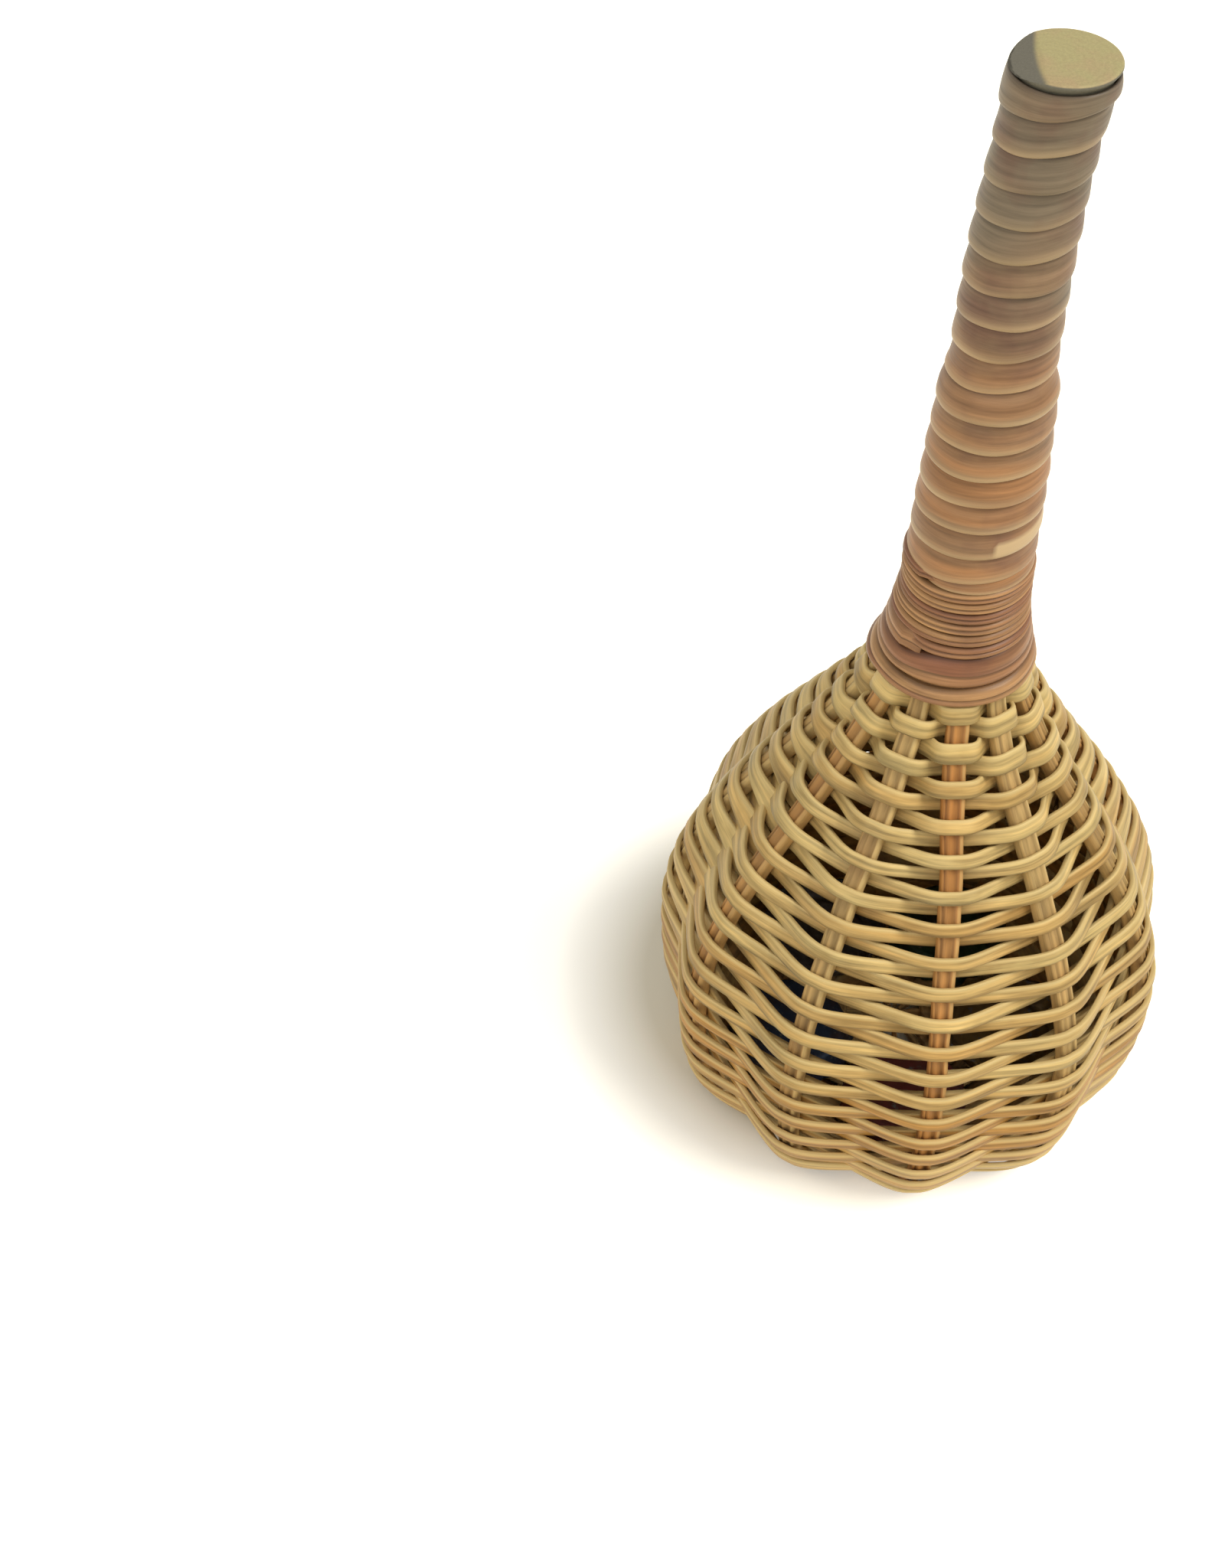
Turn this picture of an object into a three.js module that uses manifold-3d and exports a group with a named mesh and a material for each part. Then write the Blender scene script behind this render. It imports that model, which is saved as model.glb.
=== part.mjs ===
// A woven cane shaker: eleven stakes rise from a woven base, bulge into a basket and gather round a stick
// handle, which is bound at the neck and wrapped in flat cane. Loose crown caps rattle inside the basket.
// Millimetres, +Z up. The origin is the middle of the base, on the surface that the shaker stands on.

import * as THREE from 'three';
import { mergeVertices } from 'three/addons/utils/BufferGeometryUtils.js';
import Module from 'manifold-3d';

const wasm = await Module();
wasm.setup();

// Basket form, measured to the middle of the stakes
const STAKE_COUNT = 11;
const TIP_RADIUS = 2;
const FOOT_RADIUS = 41.5;
const BASE_RISE = 2.6;
const BELLY_RADIUS = 56.5;
const BELLY_HEIGHT = 42;
const NECK_RADIUS = 14.6;
const NECK_HEIGHT = 133;
const GATHER_HEIGHT = 160;
const STAKE_TOP = 205;

// How far each bend of the form reaches before it turns
const BASE_FLATNESS = 14;
const FOOT_FLATNESS = 10;
const FOOT_STEEPNESS = 26;
const SHOULDER_FULLNESS = 38;
const NECK_SWEEP = 25;
const NECK_LEAN = 6;
const GATHER_SWEEP = 10;

// Split-cane stakes, thinned at both ends
const STAKE_WIDTH = 4.8;
const STAKE_NECK_WIDTH = 4;
const STAKE_TIP_WIDTH = 0.8;
const STAKE_THICKNESS = 2.4;
const STAKE_END_THICKNESS = 1;
const STAKE_THINNING = 30;
const STAKE_FACE = 0.55;

// Weavers of flat oval cane
const CANE_WIDTH = 3.1;
const CANE_THICKNESS = 2;
const NECK_CANE_WIDTH = 3.7;
const NECK_CANE_THICKNESS = 1.6;
const ROW_GAP = 0.45;
const WEAVE_GAP = 0.35;
const CORNER_CLEARANCE = 0.4;
const SPLICE_GAP = 1;
const WEAVE_START_RADIUS = 10.5;
const WALL_WEAVER_COUNT = 5;
const NECK_ROWS = 4;
const FLAT_DEPTH = 0.6;

// Stick handle
const HANDLE_TOP = 273;
const CORE_BOTTOM = 137;
const CORE_RADIUS = 8.6;
const CORE_WAIST_RADIUS = 7.8;
const CORE_WAIST_DROP = 12;
const CORE_TAPER = 40;
const CORE_COLLAR_RADIUS = 8.9;
const CORE_END_RADIUS = 9.6;
const CORE_END_BEVEL = 0.6;
const CORE_SIDES = 24;
const BARE_END = 1.8;

// Slanting facet whittled on the left of the sawn end
const FACET_INSET = 4.3;
const FACET_DROP = 1.7;
const FACET_ANGLE = THREE.MathUtils.degToRad(179);

// The stick bends a little to the right near its end
const BEND_LENGTH = 48;
const BEND_SHIFT = 2.6;
const BEND_ANGLE = THREE.MathUtils.degToRad(15);
const BEND_STEPS = 3;

// Cane wound round the neck and the handle
const SEAT_GAP = 0.3;
const TURN_GAP = 0.6;
const LOOP_STEPS = 20;
const BAND_WIDTH = 4.6;
const BAND_THICKNESS = 1.8;
const BAND_LOOPS = 2;
const BINDING_WIDTH = 2.2;
const BINDING_THICKNESS = 1.8;
const BINDING_LOOPS = 6;
const WRAP_WIDTH = 6.4;
const WRAP_THICKNESS = 1.1;
const WRAP_TAIL_WIDTH = 1.6;

// Tack that holds the end of the wrap
const TACK_HEAD_RADIUS = 1.6;
const TACK_CROWN_RADIUS = 1.1;
const TACK_HEAD_HEIGHT = 0.8;
const TACK_SHANK_RADIUS = 0.7;
const TACK_DEPTH = 5;
const TACK_CLEARANCE = 0.35;
const TACK_LEAD = 0.2;
const TACK_SIDES = 12;

// Crown caps
const CAP_COUNT = 5;
const CAP_RADIUS = 16;
const CAP_CROWN_RADIUS = 12.4;
const CAP_SHOULDER_RADIUS = 13.4;
const CAP_SHOULDER_DROP = 0.9;
const CAP_HEIGHT = 6;
const CAP_SHEET = 0.6;
const CAP_FLUTES = 21;
const CAP_FLUTE_DEPTH = 0.9;
const CAP_SPACING = 0.8;
const CAP_CLEARANCE = 0.3;
const REST_SPACING = 0.8;

const FRONT = -Math.PI / 2;
const MERGE_DISTANCE = 1e-4;
const stakeStep = (2 * Math.PI) / STAKE_COUNT;
const rowPitch = CANE_WIDTH + ROW_GAP;
const neckPitch = NECK_CANE_WIDTH + ROW_GAP;
const weaveReach = STAKE_THICKNESS / 2 + WEAVE_GAP + CANE_THICKNESS;
const footHeight = weaveReach - FLAT_DEPTH;
const gatherRadius = CORE_RADIUS + SEAT_GAP + STAKE_THICKNESS / 2;
const stakeEndRadius = CORE_RADIUS + SEAT_GAP + STAKE_END_THICKNESS / 2;
const wrapTop = HANDLE_TOP - BARE_END;
const bendHeight = HANDLE_TOP - BEND_LENGTH;

const STRAW = 0xc8af73;
const TAN_CANE = 0xbe965a;
const STAKE_BROWN = 0xb98a4e;
const WRAP_BROWN = 0xa8794f;
const COLLAR_BROWN = 0x96663f;
const STICK_WOOD = 0xb5a672;
const TACK_STEEL = 0x6f6a62;
const CAP_PAINTS = [0x8f2f2a, 0xb08d3c, 0x3f6b46, 0xa9abad, 0x34507a];
const SPLIT_CANE = { roughness: 0.6, metalness: 0 };
const CANE_PEEL = { roughness: 0.45, metalness: 0 };
const SAWN_WOOD = { roughness: 0.7, metalness: 0 };
const STEEL = { roughness: 0.4, metalness: 0.9 };
const WORN_PAINT = { roughness: 0.45, metalness: 0.6 };

const shaker = new THREE.Group();

function addPart(name, geometry, color, finish) {
  const mesh = new THREE.Mesh(geometry, new THREE.MeshStandardMaterial({ color, ...finish }));
  mesh.name = name;
  shaker.add(mesh);
  return mesh;
}

// Value at a position in a list of [position, value] stations, straight between them
function between(stations, position) {
  let k = 1;
  while (k < stations.length - 1 && position > stations[k][0]) {
    k += 1;
  }
  const [before, low] = stations[k - 1];
  const [after, high] = stations[k];
  const share = THREE.MathUtils.clamp((position - before) / (after - before), 0, 1);
  return THREE.MathUtils.lerp(low, high, share);
}

function geometryFrom(corners, triangles) {
  const geometry = new THREE.BufferGeometry();
  geometry.setAttribute('position', new THREE.Float32BufferAttribute(corners.flatMap((p) => p.toArray()), 3));
  geometry.setIndex(triangles);
  geometry.computeVertexNormals();
  return geometry;
}

// A section placed in a ring, which holds a point and the directions across and out
function placed(section, { point, across, out }) {
  return section.map(([x, y]) => point.clone().addScaledVector(across, x).addScaledVector(out, y));
}

// A closed bar along a path of rings, each with its own section
function sweep(rings) {
  const sides = rings[0].section.length;
  const corners = rings.flatMap((ring) => placed(ring.section, ring));
  const triangles = [];
  for (let i = 0; i + 1 < rings.length; i += 1) {
    for (let k = 0; k < sides; k += 1) {
      const a = i * sides + k;
      const b = i * sides + ((k + 1) % sides);
      triangles.push(a, b, a + sides, b, b + sides, a + sides);
    }
  }
  const last = (rings.length - 1) * sides;
  for (let k = 1; k + 1 < sides; k += 1) {
    triangles.push(0, k + 1, k, last, last + k, last + k + 1);
  }
  return geometryFrom(corners, triangles);
}

function rectangle(width, low, high) {
  return [[-width / 2, low], [width / 2, low], [width / 2, high], [-width / 2, high]];
}

function solidFrom(geometry) {
  const bare = geometry.clone();
  bare.deleteAttribute('normal');
  bare.deleteAttribute('uv');
  const merged = mergeVertices(bare, MERGE_DISTANCE);
  const mesh = new wasm.Mesh({
    numProp: 3,
    vertProperties: new Float32Array(merged.attributes.position.array),
    triVerts: new Uint32Array(merged.index.array),
  });
  return new wasm.Manifold(mesh);
}

function cutAway(geometry, tool) {
  const { vertProperties, triVerts } = solidFrom(geometry).subtract(solidFrom(tool)).getMesh();
  const cut = new THREE.BufferGeometry();
  cut.setAttribute('position', new THREE.BufferAttribute(new Float32Array(vertProperties), 3));
  cut.setIndex(new THREE.BufferAttribute(new Uint32Array(triVerts), 1));
  cut.computeVertexNormals();
  return cut;
}

// The stakes' middle line from the tip at the base to the thin end on the handle, as radius and height
const foot = new THREE.Vector2(FOOT_RADIUS, footHeight);
const belly = new THREE.Vector2(BELLY_RADIUS, BELLY_HEIGHT);
const neck = new THREE.Vector2(NECK_RADIUS, NECK_HEIGHT);
const gathered = new THREE.Vector2(gatherRadius, GATHER_HEIGHT);
const thinning = new THREE.Vector2(gatherRadius, STAKE_TOP - STAKE_THINNING);
const neckHeading = new THREE.Vector2(-NECK_LEAN, NECK_SWEEP).normalize();

const base = new THREE.QuadraticBezierCurve(
  new THREE.Vector2(TIP_RADIUS, footHeight + BASE_RISE),
  new THREE.Vector2(FOOT_RADIUS - BASE_FLATNESS, footHeight),
  foot,
);
const footTurn = new THREE.CubicBezierCurve(
  foot,
  new THREE.Vector2(FOOT_RADIUS + FOOT_FLATNESS, footHeight),
  new THREE.Vector2(BELLY_RADIUS, BELLY_HEIGHT - FOOT_STEEPNESS),
  belly,
);
const wall = new THREE.CubicBezierCurve(
  belly,
  new THREE.Vector2(BELLY_RADIUS, BELLY_HEIGHT + SHOULDER_FULLNESS),
  new THREE.Vector2(NECK_RADIUS + NECK_LEAN, NECK_HEIGHT - NECK_SWEEP),
  neck,
);
const gather = new THREE.CubicBezierCurve(
  neck,
  neck.clone().addScaledVector(neckHeading, GATHER_SWEEP),
  new THREE.Vector2(gatherRadius, GATHER_HEIGHT - GATHER_SWEEP),
  gathered,
);
const BASE_STEPS = 4;
const FOOT_STEPS = 7;
const WALL_STEPS = 8;
const GATHER_STEPS = 4;

const line = base.getPoints(BASE_STEPS);
line.push(...footTurn.getPoints(FOOT_STEPS).slice(1));
line.push(...wall.getPoints(WALL_STEPS).slice(1));
line.push(...gather.getPoints(GATHER_STEPS).slice(1));
line.push(thinning, new THREE.Vector2(stakeEndRadius, STAKE_TOP));

const footIndex = BASE_STEPS;
const bellyIndex = footIndex + FOOT_STEPS;
const neckIndex = bellyIndex + WALL_STEPS;

// Each station on that line has its distance along it, its heading and the direction out of the basket
let travelled = 0;
const meridian = line.map((point, i) => {
  const before = line[Math.max(i - 1, 0)];
  const after = line[Math.min(i + 1, line.length - 1)];
  const heading = after.clone().sub(before).normalize();
  travelled += point.distanceTo(before);
  return { point, heading, out: new THREE.Vector2(heading.y, -heading.x), distance: travelled };
});
const length = travelled;
const footDistance = meridian[footIndex].distance;
const bellyDistance = meridian[bellyIndex].distance;
const neckDistance = meridian[neckIndex].distance;

const stakeWidths = [
  [0, STAKE_TIP_WIDTH],
  [footDistance, STAKE_WIDTH],
  [bellyDistance, STAKE_WIDTH],
  [neckDistance, STAKE_NECK_WIDTH],
  [length, STAKE_NECK_WIDTH],
];
const stakeThicknesses = [
  [0, STAKE_THICKNESS],
  [meridian[meridian.length - 2].distance, STAKE_THICKNESS],
  [length, STAKE_END_THICKNESS],
];

function along(distance) {
  let k = 1;
  while (k < meridian.length - 1 && distance > meridian[k].distance) {
    k += 1;
  }
  const low = meridian[k - 1];
  const high = meridian[k];
  const share = (distance - low.distance) / (high.distance - low.distance);
  return {
    point: low.point.clone().lerp(high.point, share),
    heading: low.heading.clone().lerp(high.heading, share).normalize(),
    out: low.out.clone().lerp(high.out, share).normalize(),
    stakeWidth: between(stakeWidths, distance),
    stakeThickness: between(stakeThicknesses, distance),
  };
}

// Turns a radius and height into a point or direction in space at an angle round the basket
function turned(flat, angle) {
  return new THREE.Vector3(flat.x * Math.cos(angle), flat.x * Math.sin(angle), flat.y);
}

// Stakes, each a bar with chamfered edges
function stakeSection(width, thickness) {
  const face = (width * STAKE_FACE) / 2;
  const side = width / 2;
  const half = thickness / 2;
  return [[side, 0], [face, half], [-face, half], [-side, 0], [-face, -half], [face, -half]];
}

const stakeGeometry = sweep(meridian.map((station) => ({
  point: turned(station.point, 0),
  across: new THREE.Vector3(0, -1, 0),
  out: turned(station.out, 0),
  section: stakeSection(between(stakeWidths, station.distance), between(stakeThicknesses, station.distance)),
})));
for (let k = 0; k < STAKE_COUNT; k += 1) {
  const color = k % 3 === 0 ? STAKE_BROWN : TAN_CANE;
  const stake = addPart(`stake_${k + 1}`, stakeGeometry, color, SPLIT_CANE);
  stake.rotation.z = FRONT + k * stakeStep;
}

// The weave is one spiral up the stakes. Odd crossings pass inside a stake and even ones outside it,
// and an odd number of stakes makes each row cross the other way from the row below.
const startShare = (WEAVE_START_RADIUS - TIP_RADIUS) / (FOOT_RADIUS - TIP_RADIUS);
const weaveStart = startShare * footDistance;

// The last crossing inside a stake that a spiral reaches before it has climbed a distance
function lastInside(climb, pitch) {
  return 2 * Math.floor((climb * STAKE_COUNT) / pitch / 2) + 1;
}

// The cane lies flat across each stake and runs straight to the next. It is spliced behind a stake.
function weaverPath({ first, last, start, pitch, thickness }) {
  const rings = [];
  for (let crossing = first; crossing <= last; crossing += 1) {
    const angle = FRONT + crossing * stakeStep;
    const station = along(start + ((crossing - first) * pitch) / STAKE_COUNT);
    const side = crossing % 2 === 0 ? 1 : -1;
    const reach = side * (station.stakeThickness / 2 + WEAVE_GAP + thickness / 2);
    const middle = station.point.clone().addScaledVector(station.out, reach);
    const lap = station.stakeWidth / 2 + CORNER_CLEARANCE;
    const rise = pitch / (2 * Math.PI * middle.x);
    const near = crossing === first ? SPLICE_GAP / 2 : -lap;
    const far = crossing === last ? -SPLICE_GAP / 2 : lap;
    for (const shift of [near, far]) {
      const round = new THREE.Vector3(-Math.sin(angle), Math.cos(angle), 0);
      const along3 = turned(station.heading, angle);
      const point = turned(middle, angle).addScaledVector(round, shift).addScaledVector(along3, shift * rise);
      rings.push({ point, across: along3 });
    }
  }
  return rings;
}

// Squares each ring to its path, so that the section keeps its thickness at the bends
function squared(rings, section) {
  return rings.map(({ point, across }, i) => {
    const before = rings[Math.max(i - 1, 0)].point;
    const after = rings[Math.min(i + 1, rings.length - 1)].point;
    const forward = after.clone().sub(before).normalize();
    const square = across.clone().addScaledVector(forward, -across.dot(forward)).normalize();
    return { point, across: square, out: forward.clone().cross(square), section };
  });
}

// The base and wall rows share one pitch. The neck rows are of wider, flatter cane.
const weaveEnd = neckDistance - NECK_CANE_WIDTH / 2;
const neckClimb = NECK_ROWS * neckPitch;
const baseEnd = lastInside(footDistance - weaveStart, rowPitch);
const wallEnd = lastInside(weaveEnd - neckClimb - weaveStart, rowPitch);
const wallCrossings = (wallEnd - baseEnd) / WALL_WEAVER_COUNT;

const weaveSplices = [1, baseEnd];
for (let k = 1; k < WALL_WEAVER_COUNT; k += 1) {
  weaveSplices.push(baseEnd + 2 * Math.round((k * wallCrossings) / 2));
}
weaveSplices.push(wallEnd);

const weavers = weaveSplices.slice(1).map((last, k) => ({
  name: k === 0 ? 'base_weaver' : `wall_weaver_${k}`,
  color: k === 0 ? TAN_CANE : STRAW,
  first: weaveSplices[k],
  last,
  start: weaveStart + ((weaveSplices[k] - 1) * rowPitch) / STAKE_COUNT,
  pitch: rowPitch,
  width: CANE_WIDTH,
  thickness: CANE_THICKNESS,
}));
const neckStart = weaveStart + ((wallEnd - 1) * rowPitch) / STAKE_COUNT + (NECK_CANE_WIDTH - CANE_WIDTH) / 2;
const neckWeaver = {
  name: 'neck_weaver',
  color: STRAW,
  first: wallEnd,
  last: wallEnd - 1 + lastInside(weaveEnd - neckStart, neckPitch),
  start: neckStart,
  pitch: neckPitch,
  width: NECK_CANE_WIDTH,
  thickness: NECK_CANE_THICKNESS,
};
weavers.push(neckWeaver);

// Everything below the standing surface is pared away, so that the lowest rows have flat feet
const below = new THREE.BoxGeometry(4 * BELLY_RADIUS, 4 * BELLY_RADIUS, weaveReach);
below.translate(0, 0, -weaveReach / 2);

for (const weaver of weavers) {
  const section = rectangle(weaver.width, -weaver.thickness / 2, weaver.thickness / 2);
  weaver.rings = squared(weaverPath(weaver), section);
  const cane = sweep(weaver.rings);
  cane.computeBoundingBox();
  const geometry = cane.boundingBox.min.z < 0 ? cutAway(cane, below) : cane;
  addPart(weaver.name, geometry, weaver.color, SPLIT_CANE);
}

// Handle stick, thinned above the stakes and swelling again to its sawn end
const waistHeight = HANDLE_TOP - CORE_WAIST_DROP;
const coreRadii = [
  [CORE_BOTTOM, CORE_RADIUS],
  [waistHeight - CORE_TAPER, CORE_RADIUS],
  [waistHeight, CORE_WAIST_RADIUS],
  [wrapTop, CORE_COLLAR_RADIUS],
  [HANDLE_TOP - CORE_END_BEVEL, CORE_END_RADIUS],
];
const coreHeights = coreRadii.map(([height]) => height);
for (let k = 0; k < BEND_STEPS; k += 1) {
  coreHeights.push(THREE.MathUtils.lerp(bendHeight, waistHeight, k / BEND_STEPS));
}
coreHeights.sort((a, b) => a - b);
const coreProfile = [
  new THREE.Vector2(0, CORE_BOTTOM),
  ...coreHeights.map((height) => new THREE.Vector2(between(coreRadii, height), height)),
  new THREE.Vector2(CORE_END_RADIUS - CORE_END_BEVEL, HANDLE_TOP),
  new THREE.Vector2(0, HANDLE_TOP),
];

const facetSlope = Math.atan2(FACET_DROP, CORE_END_RADIUS - FACET_INSET);
const facetSize = 4 * CORE_END_RADIUS;
const facet = new THREE.BoxGeometry(facetSize, facetSize, facetSize);
facet.translate(facetSize / 2, 0, facetSize / 2);
facet.rotateY(facetSlope);
facet.translate(FACET_INSET, 0, HANDLE_TOP);
facet.rotateZ(FACET_ANGLE);

// Bends the upper end of the stick, or of what is on it
function bent(geometry) {
  const { position } = geometry.attributes;
  for (let i = 0; i < position.count; i += 1) {
    const share = Math.max(0, (position.getZ(i) - bendHeight) / BEND_LENGTH);
    const shift = BEND_SHIFT * share * share;
    const x = position.getX(i) + shift * Math.cos(BEND_ANGLE);
    const y = position.getY(i) + shift * Math.sin(BEND_ANGLE);
    position.setXY(i, x, y);
  }
  geometry.computeVertexNormals();
  return geometry;
}

// The outer corners of the gathered stakes, as height and radius
const stakeCrests = meridian.slice(neckIndex - 1).map(({ point, out, distance }) => {
  const half = between(stakeThicknesses, distance) / 2;
  const crest = point.clone().addScaledVector(out, half);
  return [crest.y, Math.hypot(crest.x, (STAKE_NECK_WIDTH * STAKE_FACE) / 2)];
});

// Inside radius of a turn that spans the heights low to high, clear of the stakes or the stick below it
function turnRadius(low, high) {
  const heights = [low, (low + high) / 2, high];
  const radii = heights.map((height) =>
    (height < STAKE_TOP + SEAT_GAP ? between(stakeCrests, height) : between(coreRadii, height)));
  if (low < STAKE_TOP + SEAT_GAP && high > STAKE_TOP) {
    radii.push(between(stakeCrests, STAKE_TOP));
  }
  return (Math.max(...radii) + SEAT_GAP) / Math.cos(Math.PI / LOOP_STEPS);
}

// One flat strip wound upwards, each turn standing upright on what it covers. It starts beside the end of
// the winding below and nests on its last turn: where it is the wider of the two, its first turn tapers
// from the width of the one below to its own. It is trimmed level where it reaches the ceiling.
function winding(lower, loopCount, width, thickness, ceiling = Infinity) {
  const pitch = width + TURN_GAP;
  const firstPitch = Math.min(lower.pitch, pitch);
  const bottom = lower.top - firstPitch + TURN_GAP;
  const loopsTo = (height) => 1 + (height - bottom - firstPitch) / pitch;
  const loops = loopCount(loopsTo);
  const startAngle = lower.endAngle + SPLICE_GAP / turnRadius(bottom, bottom + width);
  const steps = Math.round(loops * LOOP_STEPS);
  const rings = [];
  for (let i = 0; i <= steps; i += 1) {
    const loop = (i / steps) * loops;
    const angle = startAngle + loop * 2 * Math.PI;
    const first = Math.min(loop, 1);
    const low = bottom + first * firstPitch + (loop - first) * pitch;
    const high = Math.min(low + THREE.MathUtils.lerp(firstPitch, pitch, first) - TURN_GAP, ceiling);
    rings.push({
      point: turned(new THREE.Vector2(turnRadius(low, high), (low + high) / 2), angle),
      across: new THREE.Vector3(0, 0, 1),
      out: turned(new THREE.Vector2(1, 0), angle),
      section: rectangle(high - low, 0, thickness),
      half: (high - low) / 2,
    });
  }
  const top = bottom + firstPitch + (loops - 1) * pitch + width;
  return { rings, pitch, top, loopsTo, startAngle, endAngle: startAngle + loops * 2 * Math.PI };
}

// Least clear distance between neighbouring turns, measured from the points of one to those of the next
function leastGap({ rings }) {
  let least = Infinity;
  for (let i = 0; i < rings.length; i += 1) {
    for (let k = i + LOOP_STEPS / 2; k < rings.length; k += 1) {
      const reach = rings[i].half + rings[k].half;
      least = Math.min(least, rings[i].point.distanceTo(rings[k].point) - reach);
    }
  }
  return least;
}

const topRow = along(neckStart + ((neckWeaver.last - neckWeaver.first) * neckPitch) / STAKE_COUNT);
const topCrest = topRow.point.clone().addScaledVector(topRow.out, weaveReach);
const weave = {
  top: topCrest.y + (topRow.heading.y * NECK_CANE_WIDTH) / 2,
  pitch: neckPitch,
  endAngle: FRONT + neckWeaver.last * stakeStep,
};
const wrapLoops = (loopsTo) => loopsTo(wrapTop - WRAP_TAIL_WIDTH);

const band = winding(weave, () => BAND_LOOPS, BAND_WIDTH, BAND_THICKNESS);
const binding = winding(band, () => BINDING_LOOPS, BINDING_WIDTH, BINDING_THICKNESS);
const wrap = winding(binding, wrapLoops, WRAP_WIDTH, WRAP_THICKNESS, wrapTop);

console.log('neck_band least gap to itself, mm', leastGap(band).toFixed(2));
console.log('neck_binding least gap to itself, mm', leastGap(binding).toFixed(2));
console.log('handle_wrap least gap to itself, mm', leastGap(wrap).toFixed(2));

// The tack goes through the wrap and into the stick, part of a turn before the wrap starts to be trimmed
const tackBottom = wrapTop - WRAP_WIDTH - TACK_LEAD * wrap.pitch;
const tackAngle = wrap.startAngle + wrap.loopsTo(tackBottom) * 2 * Math.PI;
const tackHeight = tackBottom + WRAP_WIDTH / 2;
const tackSeat = turnRadius(tackBottom, tackBottom + WRAP_WIDTH) + WRAP_THICKNESS + SEAT_GAP;

function placeTack(geometry) {
  geometry.rotateZ(-Math.PI / 2);
  geometry.rotateZ(tackAngle);
  geometry.translate(0, 0, tackHeight);
  return geometry;
}

const tackProfile = [
  new THREE.Vector2(0, tackSeat - TACK_DEPTH),
  new THREE.Vector2(TACK_SHANK_RADIUS, tackSeat - TACK_DEPTH + TACK_SHANK_RADIUS),
  new THREE.Vector2(TACK_SHANK_RADIUS, tackSeat),
  new THREE.Vector2(TACK_HEAD_RADIUS, tackSeat),
  new THREE.Vector2(TACK_CROWN_RADIUS, tackSeat + TACK_HEAD_HEIGHT),
  new THREE.Vector2(0, tackSeat + TACK_HEAD_HEIGHT),
];
const tackHole = new THREE.CylinderGeometry(
  TACK_SHANK_RADIUS + TACK_CLEARANCE,
  TACK_SHANK_RADIUS + TACK_CLEARANCE,
  TACK_DEPTH + TACK_HEAD_HEIGHT,
  TACK_SIDES,
);
tackHole.translate(0, tackSeat - (TACK_DEPTH - TACK_HEAD_HEIGHT) / 2 - TACK_CLEARANCE, 0);
placeTack(tackHole);

const stick = new THREE.LatheGeometry(coreProfile, CORE_SIDES).rotateX(Math.PI / 2);
const core = cutAway(cutAway(stick, facet), tackHole);
const tack = placeTack(new THREE.LatheGeometry(tackProfile, TACK_SIDES));
addPart('handle_core', bent(core), STICK_WOOD, SAWN_WOOD);
addPart('neck_band', sweep(band.rings), COLLAR_BROWN, CANE_PEEL);
addPart('neck_binding', sweep(binding.rings), COLLAR_BROWN, CANE_PEEL);
addPart('handle_wrap', bent(cutAway(sweep(wrap.rings), tackHole)), WRAP_BROWN, CANE_PEEL);
addPart('wrap_tack', bent(tack), TACK_STEEL, STEEL);

// Crown caps lie in a ring on the woven base, every other one upside down
const capOrbit = (CAP_RADIUS + CAP_SPACING / 2) / Math.sin(Math.PI / CAP_COUNT);

// Points close together on the inner face of a weaver
function innerFacePoints({ rings, width, thickness }) {
  const faceLine = [-0.5, -0.25, 0, 0.25, 0.5].map((share) => [share * width, -thickness / 2]);
  const points = [];
  for (let i = 0; i + 1 < rings.length; i += 1) {
    const from = placed(faceLine, rings[i]);
    const to = placed(faceLine, rings[i + 1]);
    const steps = Math.ceil(rings[i].point.distanceTo(rings[i + 1].point) / REST_SPACING);
    for (let step = 0; step < steps; step += 1) {
      points.push(...from.map((corner, k) => corner.clone().lerp(to[k], step / steps)));
    }
  }
  return points;
}

// How far the lower side of a cap is above its lowest point, at a distance from its axis
const rimInside = CAP_RADIUS - CAP_FLUTE_DEPTH - CAP_SHEET;
const turnedSkirt = [
  [CAP_CROWN_RADIUS, 0],
  [CAP_SHOULDER_RADIUS, CAP_SHOULDER_DROP],
  [CAP_RADIUS, CAP_HEIGHT],
];
function underside(distance, upsideDown) {
  if (upsideDown) {
    return between(turnedSkirt, distance);
  }
  return distance < rimInside ? CAP_HEIGHT - CAP_SHEET : 0;
}

// The height at which a cap comes to rest on the weave under it
const floorPoints = weavers.slice(0, 2).flatMap(innerFacePoints);
function restHeight(x, y, upsideDown) {
  const under = floorPoints.filter((point) => Math.hypot(point.x - x, point.y - y) < CAP_RADIUS);
  const heights = under.map((point) => point.z - underside(Math.hypot(point.x - x, point.y - y), upsideDown));
  return Math.max(...heights) + CAP_CLEARANCE;
}

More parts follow.
